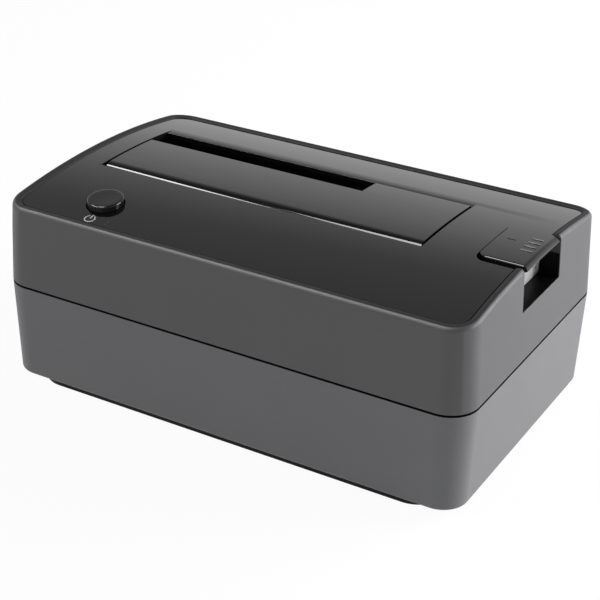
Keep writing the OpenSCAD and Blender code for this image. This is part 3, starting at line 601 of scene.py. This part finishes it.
lever_plastic = Finish("lever_plastic")
mould = lever_plastic.place.noise(0.5, 3.0)
lever_plastic.set(
    Base_Color=mould.between(grey(0.03), grey(0.045)),
    Roughness=0.4 + 0.15 * mould,
    Normal=mould.relief(0.02, 0.5),
)
lever_plastic.on(nodes["lift_rocker"])
steel.on(nodes["rocker_pin"])
spring_steel = Finish("spring_steel")
scale = spring_steel.place.noise(0.3, 4.0)
spring_steel.set(
    Base_Color=scale.between(grey(0.3, 1.03), grey(0.5, 1.02)),
    Metallic=1.0,
    Roughness=0.25 + 0.2 * scale,
)
return_turn = 2 * math.pi * RETURN_TURNS
return_spring = wind("return_spring_coil", RETURN_R, 0.0, return_turn, RETURN_LENGTH)
bring(return_spring, RETURN_AT)
smooth(return_spring)
spring_steel.on(return_spring)
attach(return_spring, "case")
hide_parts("return_spring")
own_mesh(return_spring)


# Drive well: a matt black moulding that guides the drive on to its connector. Four ears hold it
# to the deck with steel screws.

well_plastic = Finish("well_plastic")
matt = well_plastic.place.noise(0.5, 3.0)
well_plastic.set(
    Base_Color=matt.between(grey(0.003), grey(0.006)),
    Roughness=0.5 + 0.15 * matt,
    Normal=matt.relief(0.03, 0.5),
)
well_plastic.on(nodes["drive_well"])
steel.on(nodes["well_screws"])


# Upper half of the case: the same grained ABS, in a darker grey than the painted light of the lower
# half, with a rounded rim, a sunk deck that carries the gloss plate, and a finger pocket at the
# right under the eject key. The rim, the bay walls and the pocket carry painted shade, and the
# pocket's back wall painted light. Built flat, then laid over the crown that the whole top follows
# from front to back.

UPPER_BOTTOM = 31.25
CREST = 58.5
CROWN_R = 250.0
CROWN_STEP = 2
TOP_INSET = 1.25
LIP_R = 1.3
RIM_W = 2.9
RIM_ROUND = 1.55
DECK_DROP = 2.5
DECK_UNDER = 4.3
BAY = ((-61.0875, -10.9), (42.4125, 22.3))
DECK_BAY_GAP = 1.5
GROOVE_PLAY = 0.1
GROOVE_H = 1.45
WALL_STEP = 1.15
KEY_HOLE = ((56.7, -10.5), (80.0, 14.35))
KEY_HOLE_FRONT_R = 3.25
KEY_HOLE_BACK_R = 2.35
POCKET_X = 65.65
POCKET_FLOOR = 45.8
POCKET_TOP = 50.8
POCKET_CUT_TOP = 53.0
POCKET_WALL = 1.6
POCKET_BLOCK_X = 70.6
POCKET_BLOCK_TOP = 54.8
SIDE_X = 71.3
BUTTON_AT = (-45.3, -30.4)
BUTTON_HOLE = 10.9
LIGHT_AT = (-38.9, -38.7)
DECK_LIGHT_HOLE = 3.0
CUT_Z = (50.0, 60.0)
UPPER_EDGE = 0.22
TOP_ONLY = (51.0, 54.0)
WHOLE_PIECE = (40.0, 45.0)


def lay_over_crown(piece, fixed_below, moved_above):
    """Lowers each row of a flat-built piece on to the crown, by a lattice with a row at each step.

    What is below the first height stays where it is."""
    for y in range(-44, 45, CROWN_STEP):
        pick(piece, "FACE", lambda at, out: True)
        bpy.ops.mesh.bisect(plane_co=(0.0, y * MM, 0.0), plane_no=(0.0, 1.0, 0.0))
    done(piece)
    bpy.ops.object.select_all(action="DESELECT")
    bpy.ops.object.add(type="LATTICE", location=(0, 0, (fixed_below + moved_above) / 2 * MM))
    cage = bpy.context.object
    cage.scale = (0.2, CASE_D * MM, (moved_above - fixed_below) * MM)
    rows = int(CASE_D / CROWN_STEP) + 1
    cage.data.points_u = 2
    cage.data.points_v = rows
    cage.data.points_w = 2
    cage.data.interpolation_type_u = "KEY_LINEAR"
    cage.data.interpolation_type_v = "KEY_LINEAR"
    cage.data.interpolation_type_w = "KEY_LINEAR"
    for point in list(cage.data.points)[rows * 2:]:
        y = point.co.y * CASE_D
        drop = CROWN_R - math.sqrt(CROWN_R**2 - y**2)
        point.co_deform.z = point.co.z - drop / (moved_above - fixed_below)
    bpy.context.view_layer.update()
    modifier = piece.modifiers.new("crown", "LATTICE")
    modifier.object = cage
    apply(piece, modifier)
    bpy.data.objects.remove(cage)


def key_cut(low, high):
    """A tool for the eject key's hole, whose two inner corners are round."""
    tool = block((*KEY_HOLE[0], low), (*KEY_HOLE[1], high))
    inner_x, front_y = KEY_HOLE[0]
    back_y = KEY_HOLE[1][1]
    for y, radius in ((front_y, KEY_HOLE_FRONT_R), (back_y, KEY_HOLE_BACK_R)):
        pick(
            tool,
            "EDGE",
            lambda at, run: abs(run.z) > 0.9 and near(at.x, inner_x) and near(at.y, y),
        )
        bpy.ops.mesh.bevel(offset=radius * MM, segments=10)
    done(tool)
    return tool


upper_case = outline("upper_case", -half, half, UPPER_BOTTOM, CORNER)
step(TOP_INSET, CREST - UPPER_BOTTOM)
step(RIM_W)
rise(z=-DECK_DROP)
pick(upper_case, "EDGE", lambda at, run: near(at.z, CREST) and near(inwards(at), TOP_INSET, 0.5))
bpy.ops.mesh.bevel(offset=LIP_R * MM, segments=8)
rim_edge = TOP_INSET + RIM_W
pick(upper_case, "EDGE", lambda at, run: near(at.z, CREST) and near(inwards(at), rim_edge, 0.3))
bpy.ops.mesh.bevel(offset=RIM_ROUND * MM, segments=8)
pick(upper_case, "EDGE", lambda at, run: near(at.z, UPPER_BOTTOM))
bpy.ops.mesh.edge_face_add()
done(upper_case)
pick(upper_case, "FACE", lambda at, out: near(at.z, UPPER_BOTTOM) and out.z < -0.9)
step(TONGUE_OUT - GROOVE_PLAY)
rise(z=GROOVE_H)
step(TONGUE_T + 2 * GROOVE_PLAY)
rise(z=-GROOVE_H)
step(WALL_STEP)
rise(z=CREST - DECK_UNDER - UPPER_BOTTOM)
done(upper_case)
pocket_low = KEY_HOLE[0][1]
pocket_high = KEY_HOLE[1][1]
combine(
    upper_case,
    "UNION",
    block(
        (POCKET_X - POCKET_WALL, pocket_low - POCKET_WALL, POCKET_FLOOR - POCKET_WALL),
        (POCKET_BLOCK_X, pocket_high + POCKET_WALL, POCKET_BLOCK_TOP),
    ),
)
combine(
    upper_case,
    "DIFFERENCE",
    block((POCKET_X, pocket_low, POCKET_FLOOR), (KEY_HOLE[1][0], pocket_high, POCKET_CUT_TOP)),
    key_cut(POCKET_TOP, CUT_Z[1]),
    block(
        (BAY[0][0] - DECK_BAY_GAP, BAY[0][1], CUT_Z[0]),
        (BAY[1][0] + DECK_BAY_GAP, BAY[1][1] + DECK_BAY_GAP, CUT_Z[1]),
    ),
    rod(*BUTTON_AT, *CUT_Z, BUTTON_HOLE),
    rod(*LIGHT_AT, *CUT_Z, DECK_LIGHT_HOLE, 24),
)
soften(upper_case, UPPER_EDGE)
lay_over_crown(upper_case, *TOP_ONLY)
smooth(upper_case)
grained("upper_plastic", 0.047, 0.054).on(upper_case)
# Painted shade: the rim's top and inner slope get a near-black grey, for the dim light from
# overhead.
rim_painted_shade = Finish("rim_painted_shade")
rim_shade_noise = rim_painted_shade.place.noise(0.42, 3.0)
rim_painted_shade.set(
    Base_Color=rim_shade_noise.between(grey(0.01, 1.04), grey(0.014, 1.04)),
    Roughness=0.6 + 0.1 * rim_shade_noise,
    IOR=1.5,
    Specular_IOR_Level=0.3,
)
coat(
    upper_case,
    rim_painted_shade,
    lambda at, out: at.z > TOP_ONLY[0]
    and out.z > -0.5
    and TOP_INSET + LIP_R - 0.5 < inwards(at) < rim_edge + SLACK,
)


def in_pocket(at):
    return (
        POCKET_X - SLACK < at.x < SIDE_X
        and pocket_low - SLACK < at.y < pocket_high + SLACK
        and POCKET_FLOOR - SLACK < at.z < POCKET_CUT_TOP
    )


def in_bay_wall(at):
    return (
        BAY[0][0] - DECK_BAY_GAP - SLACK < at.x < BAY[1][0] + DECK_BAY_GAP + SLACK
        and BAY[0][1] - SLACK < at.y < BAY[1][1] + DECK_BAY_GAP + SLACK
        and at.z > TOP_ONLY[0]
    )


# Painted shade: the walls round the bay and the pocket's floor and side walls are near black, for
# the shadow inside them.
coat(upper_case, painted_shade_black, lambda at, out: in_bay_wall(at) or (in_pocket(at) and out.x < 0.5))
# Painted light: the pocket's back wall gets a light grey, for the light from the right that falls
# on it.
pocket_back_painted_light = grained("pocket_back_painted_light", 0.2, 0.24)
coat(upper_case, pocket_back_painted_light, lambda at, out: in_pocket(at) and out.x > 0.5)
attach(upper_case, "case")
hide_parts("upper_shell")


# Top plate: a gloss black ABS inlay, polished in the mould and snapped into the rim. It has the
# openings for the drive, the button, the light and the key, and a shallow lead-in behind the bay.

PLATE_INSET = 4.17
PLATE_DROP = 0.7
PLATE_T = 1.8
PLATE_LIGHT_HOLE = 1.42
PLATE_EDGE = 0.15
BAY_EDGE_R = 0.65
LEAD_IN = 1.8
LEAD_IN_DEPTH = 0.5
plate_z = CREST - PLATE_DROP
top_plate = outline("gloss_plate", -half, half, plate_z, CORNER)
rise(z=-PLATE_T)
done(top_plate)
lead_in = block(
    (BAY[0][0], BAY[1][1] - OVERSHOOT, plate_z),
    (BAY[1][0], BAY[1][1] + LEAD_IN, CUT_Z[1]),
)
pick(lead_in, "VERT", lambda at, out: near(at.z, plate_z) and at.y < BAY[1][1])
bpy.ops.transform.translate(value=(0.0, 0.0, -LEAD_IN_DEPTH * MM))
done(lead_in)
combine(
    top_plate,
    "DIFFERENCE",
    block((*BAY[0], CUT_Z[0]), (*BAY[1], CUT_Z[1])),
    lead_in,
    key_cut(*CUT_Z),
    rod(*BUTTON_AT, *CUT_Z, BUTTON_HOLE),
    rod(*LIGHT_AT, *CUT_Z, PLATE_LIGHT_HOLE, 24),
)
pick(top_plate, "EDGE", lambda at, run: near(at.z, plate_z) and near(at.y, BAY[0][1]))
bpy.ops.mesh.bevel(offset=BAY_EDGE_R * MM, segments=5)
done(top_plate)
soften(top_plate, PLATE_EDGE)
plate_half = half - Vector((PLATE_INSET, PLATE_INSET))
trim = outline("trim", -plate_half, plate_half, plate_z + OVERSHOOT, CORNER - PLATE_INSET)
rise(z=-PLATE_T - 2 * OVERSHOOT)
done(trim)
combine(top_plate, "INTERSECT", trim)
lay_over_crown(top_plate, *WHOLE_PIECE)
smooth(top_plate)
gloss_plastic = Finish("gloss_plastic")
haze = gloss_plastic.place.noise(30.0, 4.0)
specks = gloss_plastic.place.noise(0.5, 1.0).above(0.74)
gloss_plastic.set(
    Base_Color=specks.between(grey(0.004, 1.04), grey(0.014, 1.04)),
    Roughness=0.05 + 0.05 * haze + 0.12 * specks,
    IOR=1.5,
    Normal=gloss_plastic.place.noise(9.0, 2.0).relief(0.02, 0.25),
)
gloss_plastic.on(top_plate)
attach(top_plate, "case")
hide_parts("top_plate")


# Light pipe: a rod moulded in smoked clear plastic, with a collar to hold it. It brings the status
# light up to the plate, and its thin tip hides in the gloss when off.

PIPE_LOW = 10.9
PIPE_TOP = CREST - DECK_DROP - 0.5
PIPE_D = 2.6
PIPE_SIDES = 32
PIPE_EDGE = 0.05
TIP_STEP = 0.6
TIP_DROP = 0.02
COLLAR_Z = (43.0, 44.0)
COLLAR_D = 4.0
pipe = rod(*LIGHT_AT, PIPE_LOW, PIPE_TOP, PIPE_D, PIPE_SIDES)
pipe.name = "light_pipe_rod"
pick(pipe, "FACE", lambda at, out: out.z > 0.99)
step(TIP_STEP)
rise(z=plate_z - TIP_DROP - PIPE_TOP)
done(pipe)
combine(pipe, "UNION", rod(*LIGHT_AT, *COLLAR_Z, COLLAR_D, PIPE_SIDES))
soften(pipe, PIPE_EDGE)
lay_over_crown(pipe, *TOP_ONLY)
smooth(pipe)
clear_plastic = Finish("clear_plastic")
ripple = clear_plastic.place.noise(1.2, 2.0)
clear_plastic.set(
    Base_Color=ripple.between(grey(0.008), grey(0.014)),
    Roughness=0.06 + 0.05 * ripple,
    IOR=1.5,
    Transmission_Weight=0.15,
)
clear_plastic.on(pipe)
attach(pipe, "case")
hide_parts("light_pipe")


# Flap: a gloss door over the bay, L shaped so that a small drive can stand in the notch it leaves.
# Its front edge is a roll that turns on a steel pin, and a torsion spring holds it shut.

FLAP_GAP = 0.8
FLAP_X = (BAY[0][0] + FLAP_GAP, BAY[1][0] - FLAP_GAP)
FLAP_BACK = BAY[1][1] - FLAP_GAP
NOTCH_X = 11.9125
NOTCH_Y = 13.0
ROLL_R = 3.0
HINGE_Y = -7.4
FLAP_T = 2.2
FLAP_EDGE = 0.2
SPRING_X = (26.4125, 33.4125)
roll_z = plate_z - ROLL_R
flap = block(
    (FLAP_X[0], HINGE_Y - ROLL_R, plate_z - 2 * ROLL_R),
    (FLAP_X[1], HINGE_Y + ROLL_R, plate_z),
)
flap.name = "flap_door"
pick(flap, "FACE", lambda at, out: True)
bpy.ops.mesh.bisect(plane_co=(0.0, 0.0, (plate_z - FLAP_T) * MM), plane_no=(0.0, 0.0, 1.0))
pick(flap, "FACE", lambda at, out: out.y > 0.9 and at.z > plate_z - FLAP_T)
rise(y=NOTCH_Y - HINGE_Y - ROLL_R)
pick(flap, "FACE", lambda at, out: True)
bpy.ops.mesh.bisect(plane_co=(NOTCH_X * MM, 0.0, 0.0), plane_no=(1.0, 0.0, 0.0))
pick(flap, "FACE", lambda at, out: out.y > 0.9 and near(at.y, NOTCH_Y) and at.x > NOTCH_X)
rise(y=FLAP_BACK - NOTCH_Y)
pick(
    flap,
    "EDGE",
    lambda at, run: abs(run.x) > 0.9
    and (near(at.y, HINGE_Y - ROLL_R) or near(at.y, HINGE_Y + ROLL_R))
    and (near(at.z, plate_z) or near(at.z, plate_z - 2 * ROLL_R))
    and not (near(at.y, HINGE_Y + ROLL_R) and near(at.z, plate_z)),
)
bpy.ops.mesh.bevel(offset=(ROLL_R - 0.01) * MM, segments=14)
done(flap)
combine(
    flap,
    "DIFFERENCE",
    block(
        (SPRING_X[0], HINGE_Y - ROLL_R - OVERSHOOT, roll_z - ROLL_R - OVERSHOOT),
        (SPRING_X[1], HINGE_Y + ROLL_R + OVERSHOOT, roll_z),
    ),
)
soften(flap, FLAP_EDGE)
lay_over_crown(flap, *WHOLE_PIECE)
smooth(flap)
gloss_plastic.on(flap)
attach(flap, "flap")
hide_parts("flap")
steel.on(nodes["flap_pin"])


# Flap spring: a torsion spring of steel wire, coiled round the pin in a notch of the roll. Its long
# end turns with the flap and pushes it shut; its hook stays behind, under the edge of the deck.

COIL_R = 1.75
COIL_TURNS = 5
COIL_LENGTH = 5.0
HOOK_TURN = math.radians(-97.0)
PUSH_TURN = math.radians(-72.0)
HOOK_REACH = 5.0
PUSH_REACH = 7.0
HOOK_GAP = 0.05
HOOK_EDGE = 0.08
COIL_INSET = 1.0
HINGE_DROP = 0.11
coil_at = Vector((SPRING_X[0] + COIL_INSET, HINGE_Y, roll_z - HINGE_DROP))
coil_turn = 2 * math.pi * COIL_TURNS + PUSH_TURN - HOOK_TURN


def on_coil(x, turn):
    """The point of the coil that is that far along the pin and round it."""
    return coil_at + Vector((x, COIL_R * math.cos(turn), COIL_R * math.sin(turn)))


spring = wind("flap_spring_coil", COIL_R, HOOK_TURN + math.pi / 2, coil_turn, COIL_LENGTH)
bring(spring, coil_at, math.pi / 2)
push_end = on_coil(COIL_LENGTH, PUSH_TURN)
pick(spring, "FACE", lambda at, out: (at - push_end).length < 0.05)
rise(y=-PUSH_REACH * math.sin(PUSH_TURN), z=PUSH_REACH * math.cos(PUSH_TURN))
done(spring)
smooth(spring)
spring_steel.on(spring)
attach(spring, "flap")
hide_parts("flap_spring")

hook_start = on_coil(-WIRE_D - HOOK_GAP, HOOK_TURN)
bpy.ops.object.select_all(action="DESELECT")
bpy.ops.mesh.primitive_circle_add(
    vertices=WIRE_SIDES,
    radius=WIRE_D / 2 * MM,
    fill_type="NGON",
    location=hook_start * MM,
    rotation=(math.pi / 2, 0.0, 0.0),
)
hook = bpy.context.object
hook.name = "flap_spring_hook"
bpy.ops.object.transform_apply(location=True, rotation=True, scale=True)
pick(hook, "FACE", lambda at, out: True)
rise(y=HOOK_REACH * math.sin(HOOK_TURN), z=-HOOK_REACH * math.cos(HOOK_TURN))
done(hook)
soften(hook, HOOK_EDGE)
smooth(hook)
spring_steel.on(hook)
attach(hook, "case")


# Power button: a round gloss black cap with a faintly dished top, moulded in one with the long stem
# that reaches down to the push switch.

BUTTON_D = 10.3
BUTTON_TOP = 59.6
BUTTON_LOW = 48.46
BUTTON_ROUND = 0.45
BUTTON_EDGE = 0.2
DISH_RING = 0.8
DISH_FALLS = (0.005, 0.02, 0.015, 0.01, 0.005)
STEM_STEP = 3.0
STEM_LOW = 23.0
button = rod(*BUTTON_AT, BUTTON_LOW, BUTTON_TOP, BUTTON_D, 96)
button.name = "power_button_cap"
pick(button, "EDGE", lambda at, run: near(at.z, BUTTON_TOP))
bpy.ops.mesh.bevel(offset=BUTTON_ROUND * MM, segments=6)
pick(button, "FACE", lambda at, out: out.z > 0.9999)
for fall in DISH_FALLS:
    step(DISH_RING, -fall)
pick(button, "FACE", lambda at, out: out.z < -0.99)
step(STEM_STEP)
rise(z=STEM_LOW - BUTTON_LOW)
done(button)
soften(button, BUTTON_EDGE, 60.0)
lay_over_crown(button, *TOP_ONLY)
smooth(button)
gloss_plastic.on(button)
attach(button, "power_button")
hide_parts("power_button")


# Power mark: the general sign for on and off, a broken ring with a bar in its gap. White ink, pad
# printed on the plate in front of the button.

MARK_AT = (-44.5, -38.8)
MARK_R = 1.65
MARK_LINE = 0.36
MARK_GAP = 0.75
MARK_GAP_Y = (0.5, 3.0)
BAR_Y = (0.1, MARK_R + 0.3)
INK_T = 0.02
mark = rod(*MARK_AT, plate_z - INK_T, plate_z + INK_T, 2 * MARK_R)
mark.name = "power_mark"
combine(
    mark,
    "DIFFERENCE",
    rod(*MARK_AT, plate_z - OVERSHOOT, plate_z + OVERSHOOT, 2 * (MARK_R - MARK_LINE)),
    block(
        (MARK_AT[0] - MARK_GAP, MARK_AT[1] + MARK_GAP_Y[0], plate_z - OVERSHOOT),
        (MARK_AT[0] + MARK_GAP, MARK_AT[1] + MARK_GAP_Y[1], plate_z + OVERSHOOT),
    ),
)
combine(
    mark,
    "UNION",
    block(
        (MARK_AT[0] - MARK_LINE / 2, MARK_AT[1] + BAR_Y[0], plate_z - INK_T),
        (MARK_AT[0] + MARK_LINE / 2, MARK_AT[1] + BAR_Y[1], plate_z + INK_T),
    ),
)
lay_over_crown(mark, *WHOLE_PIECE)
ink = Finish("mark_ink")
thin = ink.place.noise(0.25, 3.0)
ink.set(Base_Color=thin.between(grey(0.42), grey(0.55)), Roughness=0.45 + 0.1 * thin)
ink.on(mark)
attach(mark, "case")


# Eject key: a gloss cap whose nose rolls over the finger pocket, with grip ribs for the fingertip.
# A skirt closes the gap behind it, and its leg reaches down to the rocker.

KEY = ((57.05, -8.0), (71.05, 14.2))
KEY_TOP = 58.0
KEY_UNDER = 55.6
KEY_CORNER = 2.0
KEY_EDGE = 0.12
FRONT_ROUND = 0.6
NOSE_ROUND = 1.5
NOSE_TUCK = 1.6
KEY_LAP = 0.4
SKIRT_X = (62.0, 63.8)
SKIRT_INSET = 0.5
SKIRT_LOW = 49.3
LEG = ((58.8, 8.0), (62.2, 13.0))
LEG_END = 16.3
LEG_ROUND = 1.65
RIB_X = (65.4, 68.6)
RIB_Y = (0.4, 3.1, 5.8, 8.5)
RIB_HALF = 0.3
RIB_Z = (KEY_TOP - 0.5, KEY_TOP + 0.15)
SLIT = ((59.8, 4.8), (62.1, 5.2))
SLIT_DEPTH = 0.25
CAP_BENDS = (KEY_UNDER + 0.2, KEY_UNDER + 1.4)


def at_nose(at, run, z):
    """True for the edge along the nose at that height."""
    return abs(run.y) > 0.9 and near(at.x, KEY[1][0]) and near(at.z, z)


def at_front(at, run):
    """True for the upper edge at the front end."""
    return abs(run.x) > 0.9 and near(at.y, KEY[0][1]) and near(at.z, KEY_TOP)


key = block((*KEY[0], KEY_UNDER), (*KEY[1], KEY_TOP))
key.name = "eject_key_cap"
pick(key, "EDGE", lambda at, run: abs(run.z) > 0.9 and near(at.x, KEY[0][0]))
bpy.ops.mesh.bevel(offset=KEY_CORNER * MM, segments=10)
pick(key, "EDGE", lambda at, run: at_nose(at, run, KEY_TOP))
bpy.ops.mesh.bevel(offset=NOSE_ROUND * MM, segments=8)
pick(key, "EDGE", at_front)
bpy.ops.mesh.bevel(offset=FRONT_ROUND * MM, segments=5)
pick(key, "EDGE", lambda at, run: at_nose(at, run, KEY_UNDER))
bpy.ops.transform.translate(value=(-NOSE_TUCK * MM, 0.0, 0.0))
done(key)
leg = block((*LEG[0], LEG_END), (*LEG[1], KEY_UNDER + KEY_LAP))
pick(leg, "EDGE", lambda at, run: abs(run.y) > 0.9 and near(at.z, LEG_END))
bpy.ops.mesh.bevel(offset=LEG_ROUND * MM, segments=8)
done(leg)
skirt = block(
    (SKIRT_X[0], KEY[0][1] + SKIRT_INSET, SKIRT_LOW),
    (SKIRT_X[1], KEY[1][1] - SKIRT_INSET, KEY_UNDER + KEY_LAP),
)
ribs = [
    block((RIB_X[0], y - RIB_HALF, RIB_Z[0]), (RIB_X[1], y + RIB_HALF, RIB_Z[1])) for y in RIB_Y
]
combine(key, "UNION", skirt, leg, *ribs)
slit = block((*SLIT[0], KEY_TOP - SLIT_DEPTH), (*SLIT[1], KEY_TOP + OVERSHOOT))
combine(key, "DIFFERENCE", slit)
soften(key, KEY_EDGE)
lay_over_crown(key, *CAP_BENDS)
smooth(key)
gloss_plastic.on(key)
# Painted highlight: the tops of the grip ribs get a light grey, for the light they catch.
rib_tops_painted_highlight = Finish("rib_tops_painted_highlight")
rib_highlight_noise = rib_tops_painted_highlight.place.noise(0.3, 3.0)
rib_tops_painted_highlight.set(Base_Color=rib_highlight_noise.between(grey(0.12), grey(0.2)), Roughness=0.4 + 0.1 * rib_highlight_noise)
coat(
    key,
    rib_tops_painted_highlight,
    lambda at, out: out.z > 0.8 and at.z > RIB_Z[1] - 0.05 - at.y**2 / (2 * CROWN_R),
)
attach(key, "eject_key")
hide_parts("eject_key")


# Case screws: four steel self-tappers, put in from below through the lower half, that clamp the
# two halves together.

steel.on(nodes["case_screws"])


# Floor: a wide sheet of white paper. Seen directly or in a gloss it is lifted towards white, and
# it keeps a soft shadow.

FLOOR_SIZE = 8.0
FLOOR_LIFT = 0.94
bpy.ops.object.select_all(action="DESELECT")
bpy.ops.mesh.primitive_plane_add(size=FLOOR_SIZE)
floor = bpy.context.object
floor.name = "studio_floor"
sweep = Finish("studio_floor")
sweep.set(Base_Color=grey(0.85), Roughness=0.9)
path = sweep.place.node("ShaderNodeLightPath", "Is Camera Ray")
seen = path + Signal(sweep.tree, path.socket.node.outputs["Is Glossy Ray"])
white = sweep.place.node("ShaderNodeEmission", "Emission", Color=grey(1.0), Strength=1.0)
shaded = Signal(sweep.tree, sweep.shader.outputs["BSDF"])
lifted = sweep.tree.nodes.new("ShaderNodeMixShader")
feed(sweep.tree, lifted, "Fac", seen * FLOOR_LIFT)
sweep.tree.links.new(shaded.socket, lifted.inputs[1])
sweep.tree.links.new(white.socket, lifted.inputs[2])
sweep.tree.links.new(lifted.outputs[0], sweep.tree.nodes["Material Output"].inputs["Surface"])
sweep.on(floor)


# Light: a white tent, bright round the sides and dim overhead and behind the camera, soft panels
# from the right and the front, and a bounce card low at the right. Three more lamps only draw the
# bright lines along glossy edges.

CAMERA_SIDE = (0.5, -0.866, 0.0)
world = bpy.data.worlds.new("white_tent")
bpy.context.scene.world = world
world.use_nodes = True
tent = world.node_tree.nodes["Background"]
coordinates = world.node_tree.nodes.new("ShaderNodeTexCoord")
towards = Signal(world.node_tree, coordinates.outputs["Generated"])


def ramp(value, start, end, first, last):
    """Goes from the first level to the last while the value goes from start to end."""
    return value.node(
        "ShaderNodeMapRange",
        "Result",
        Value=value,
        From_Min=start,
        From_Max=end,
        To_Min=first,
        To_Max=last,
    )


height = towards.node("ShaderNodeSeparateXYZ", "Z", Vector=towards)
roof = (
    ramp(height, 0.2, 0.42, 1.0, 0.76)
    + ramp(height, 0.4, 0.56, 0.0, -0.33)
    + ramp(height, 0.72, 0.85, 0.0, -0.28)
)
facing = towards.node(
    "ShaderNodeVectorMath", "Value", {"operation": "DOT_PRODUCT"}, Vector=towards
)
facing.socket.node.inputs[1].default_value = CAMERA_SIDE
feed(world.node_tree, tent, "Color", roof * ramp(facing, 0.2, 0.9, 1.0, 0.55))


def panel(name, at, aim, size, watts, turn=0.0, mirrored=False):
    """A soft rectangular lamp facing a point, turned about its own axis.

    It lights surfaces without showing in them or, where mirrored, only shows as a reflection."""
    bpy.ops.object.select_all(action="DESELECT")
    bpy.ops.object.light_add(type="AREA", location=at)
    lamp = bpy.context.object
    lamp.name = name
    lamp.data.shape = "RECTANGLE"
    lamp.data.size = size[0]
    lamp.data.size_y = size[1]
    lamp.data.energy = watts
    lamp.visible_camera = False
    lamp.visible_glossy = mirrored
    lamp.visible_diffuse = not mirrored
    face = (Vector(at) - Vector(aim)).to_track_quat("Z", "Y").to_matrix()
    lamp.rotation_euler = (face @ Matrix.Rotation(math.radians(turn), 3, "Z")).to_euler()


RIGHT_AIM = (0.1, 0.0, 0.0)
FRONT_AIM = (0.0, 0.0, 0.03)
FLAP_GLINT_AT = (-0.434, -0.2525)
KEY_GLINT_AT = (-0.145, -0.245)
GLINT_Z = 0.6
BOUNCE_Z = 0.012
panel("right_panel", (0.54, 0.46, 0.24), RIGHT_AIM, (0.5, 0.4), 11.7)
panel("right_bounce", (0.3, 0.06, BOUNCE_Z), (0.07, 0.0, BOUNCE_Z), (0.3, 0.02), 0.37)
panel("front_panel", (-1.5, -1.25, 0.85), FRONT_AIM, (0.9, 0.9), 20.0)
panel("right_glint", (0.6, 0.3, 0.3), RIGHT_AIM, (0.4, 0.3), 4.3, mirrored=True)
for name, at, size, watts, turn in (
    ("flap_glint", FLAP_GLINT_AT, (0.5, 0.14), 4.5, -48.7),
    ("key_glint", KEY_GLINT_AT, (0.2, 0.35), 2.6, 15.0),
):
    panel(name, (*at, GLINT_Z), (*at, 0.0), size, watts, turn, mirrored=True)


# Camera: a long lens from the front right and above. Its place, its axes and its focal length were
# fitted to the case's corners, seam and edges in the photo.

SENSOR = 36.0
FOCAL = 91.996
FAR = 50.0
lens = bpy.data.cameras.new("camera")
lens.sensor_width = SENSOR
lens.lens = FOCAL
lens.clip_end = FAR
camera = bpy.data.objects.new("camera", lens)
bpy.context.scene.collection.objects.link(camera)
right = (0.86355, 0.50385, 0.02035)
up = (-0.24659, 0.38675, 0.8886)
back = (0.43985, -0.77237, 0.45823)
stand = (0.19449863, -0.34155963, 0.22786516)
camera.matrix_world = Matrix([(*axis,) for axis in zip(right, up, back, stand)] + [(0, 0, 0, 1)])
bpy.context.scene.camera = camera
bpy.context.scene.view_settings.view_transform = "Standard"
